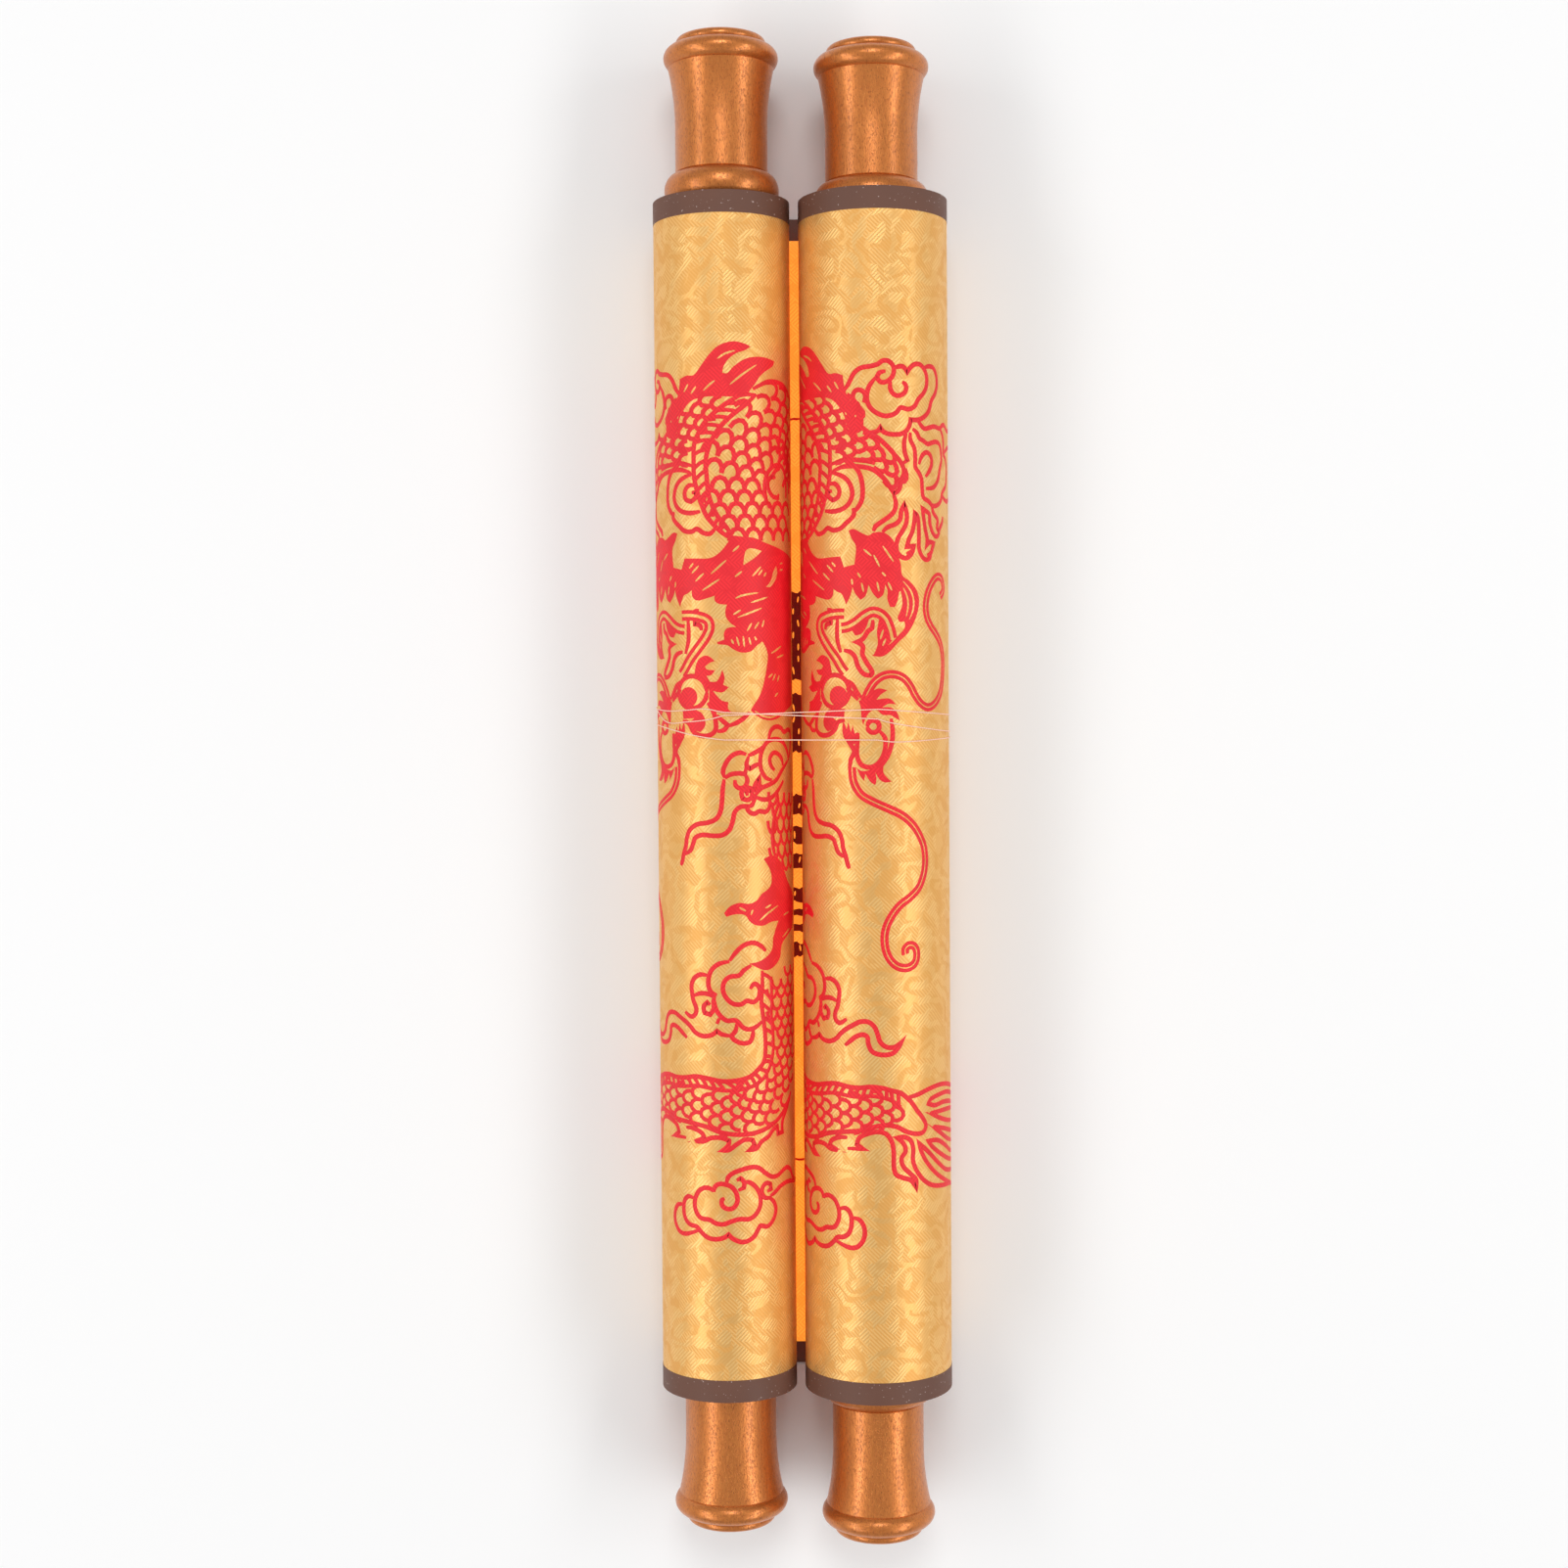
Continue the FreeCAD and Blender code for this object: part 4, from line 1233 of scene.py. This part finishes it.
# %% [markdown]
# Gold damask: satin with a metallic thread, so each roll mirrors the other in deep orange
# where they face. Cloud curls show only as a change in the direction of the fine hatching.
# %% Gold damask
gold, tree, shader = new_material("gold_damask", Metallic=0.72)
pattern = use_group(tree, weave, sheet_place(tree))
tone = maths(tree, "MULTIPLY", pattern["Motif"], 0.25)
tone = maths(tree, "MULTIPLY_ADD", pattern["Hatch"], 0.75, tone)
feed(
    tree, shader,
    Base_Color=mix_colours(tree, tone, (232, 172, 92), (248, 202, 130)),
    Roughness=remap(tree, pattern["Motif"], 0.0, 1.0, 0.56, 0.46),
    Normal=bumps(tree, pattern["Height"], 0.06),
)
paint(damask_sheet, gold)

# %% [markdown]
# Between the rolls only one layer of thin mounted silk is left. It has a finish of its own on its
# upper face in the narrow gap: painted light, an orange colour that also glows, standing in for
# the light that the gold rolls reflect down into the gap.
# %% The strip with a painted glow
STRIP_REACH = 1.0
# Painted glow: Emission Strength 0.75 makes the strip shine though no lamp lights it.
glow, tree, shader = new_material("strip_painted_glow", Roughness=0.6, Emission_Strength=0.75)
pattern = use_group(tree, weave, sheet_place(tree))
# Painted reflected light: this orange is both the strip's base colour and its glow colour.
colour = mix_colours(tree, pattern["Hatch"], (240, 150, 46), (252, 172, 62))
feed(tree, shader, Base_Color=colour, Emission_Color=colour)
damask_sheet.data.materials.append(glow)
# Only the upward faces of the strip in the gap take the painted glow.
for face in damask_sheet.data.polygons:
    in_strip = abs(face.center.x / MM) < STRIP_REACH and face.center.z / MM < STRIP_REACH
    face.material_index = 1 if in_strip and face.normal.z > 0.9 else 0

# %% [markdown]
# The edging is matt brown paper tape with a few pale specks.
# %% Brown edging
brown, tree, shader = new_material("brown_edging")
dirt = use_group(tree, wear, object_place(tree))
colour = mix_colours(tree, dirt["Blotches"], (92, 56, 42), (114, 76, 60))
feed(
    tree, shader,
    Base_Color=mix_colours(tree, dirt["Specks"], colour, (176, 152, 144)),
    Roughness=remap(tree, dirt["Blotches"], 0.3, 0.7, 0.55, 0.7),
    Normal=bumps(tree, dirt["Blotches"], 0.05),
)
for edging in edgings:
    paint(edging, brown)

# %% [markdown]
# The knobs are open-grained wood under bronze metallic paint: the grain still shows as fine
# lengthwise ripples that break up the highlights.
# %% Bronze paint on wood
bronze, tree, shader = new_material(
    "bronze_paint", Metallic=0.72, Coat_Weight=0.3, Coat_Roughness=0.25
)
figure = use_group(tree, grain, object_place(tree))
dirt = use_group(tree, wear, object_place(tree))
colour = mix_colours(tree, figure["Waves"], (184, 98, 40), (226, 142, 68))
pore_shade = maths(tree, "MULTIPLY", figure["Pores"], 0.45)
feed(
    tree, shader,
    Base_Color=mix_colours(tree, pore_shade, colour, (120, 56, 22)),
    Roughness=remap(tree, dirt["Blotches"], 0.3, 0.7, 0.3, 0.38),
    Normal=bumps(tree, figure["Height"], 0.05),
)
for knob in knobs:
    paint(knob, bronze)

# %% [markdown]
# The rods inside the rolls are plain turned wood; only their ends could ever be seen.
# %% Plain wood of the rods
wood, tree, shader = new_material("plain_wood")
figure = use_group(tree, grain, object_place(tree))
colour = mix_colours(tree, figure["Waves"], (170, 122, 78), (206, 160, 108))
feed(
    tree, shader,
    Base_Color=mix_colours(tree, figure["Pores"], colour, (128, 84, 50)),
    Roughness=remap(tree, figure["Waves"], 0.3, 0.7, 0.55, 0.7),
    Normal=bumps(tree, figure["Height"], 0.05),
)
for side in ROLLS:
    paint(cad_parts[f"{side}_core_rod"], wood)

# %% [markdown]
# The print is a thin matt red that the weave still shows through.
# %% Red ink
ink, tree, shader = new_material("red_ink", Metallic=0.1)
pattern = use_group(tree, weave, sheet_place(tree))
feed(
    tree, shader,
    Base_Color=mix_colours(tree, pattern["Hatch"], (228, 20, 36), (248, 38, 48)),
    Roughness=remap(tree, pattern["Hatch"], 0.0, 1.0, 0.5, 0.6),
    Normal=bumps(tree, pattern["Height"], 0.03),
)
for piece in prints:
    paint(piece, ink)

# %% [markdown]
# The marks on the inner face are red ink with painted shade: a deep dark red in the middle of the
# gap, and a lighter red with less painted shade at the two ends of the scroll. The thread is pale
# pink cotton with a fine twist.
# %% Ink in painted shade, and cotton
END_MARKS_FROM = 90
# Painted shade: the marks deep in the gap are a dark red, with random blotches in it.
deep_shade_ink, tree, shader = new_material("red_ink_deep_painted_shade", Roughness=0.6)
blotches = use_group(tree, wear, object_place(tree))["Blotches"]
feed(tree, shader, Base_Color=mix_colours(tree, blotches, (96, 14, 8), (132, 34, 16)))
# Painted shade, lighter: the same red ink as it is drawn near the two ends of the scroll.
light_shade_ink = new_material("red_ink_light_painted_shade", Base_Color=paper_colour(206, 44, 30), Roughness=0.6)[0]
paint(inner_marks, deep_shade_ink, light_shade_ink)
# Marks farther than END_MARKS_FROM millimetres from the middle take the lighter painted shade.
for face in inner_marks.data.polygons:
    face.material_index = 1 if abs(face.center.y) > END_MARKS_FROM * MM else 0
cotton, tree, shader = new_material("pink_cotton", Roughness=0.7)
in_mm = add_node(
    tree, "ShaderNodeMapping", [("Vector", object_place(tree)), ("Scale", (1000, 1000, 1000))]
).outputs[0]
twist = turned_bands(tree, in_mm, 30, 0.5)
feed(tree, shader, Base_Color=mix_colours(tree, twist, (250, 196, 172), (255, 222, 204)))
paint(thread, cotton)
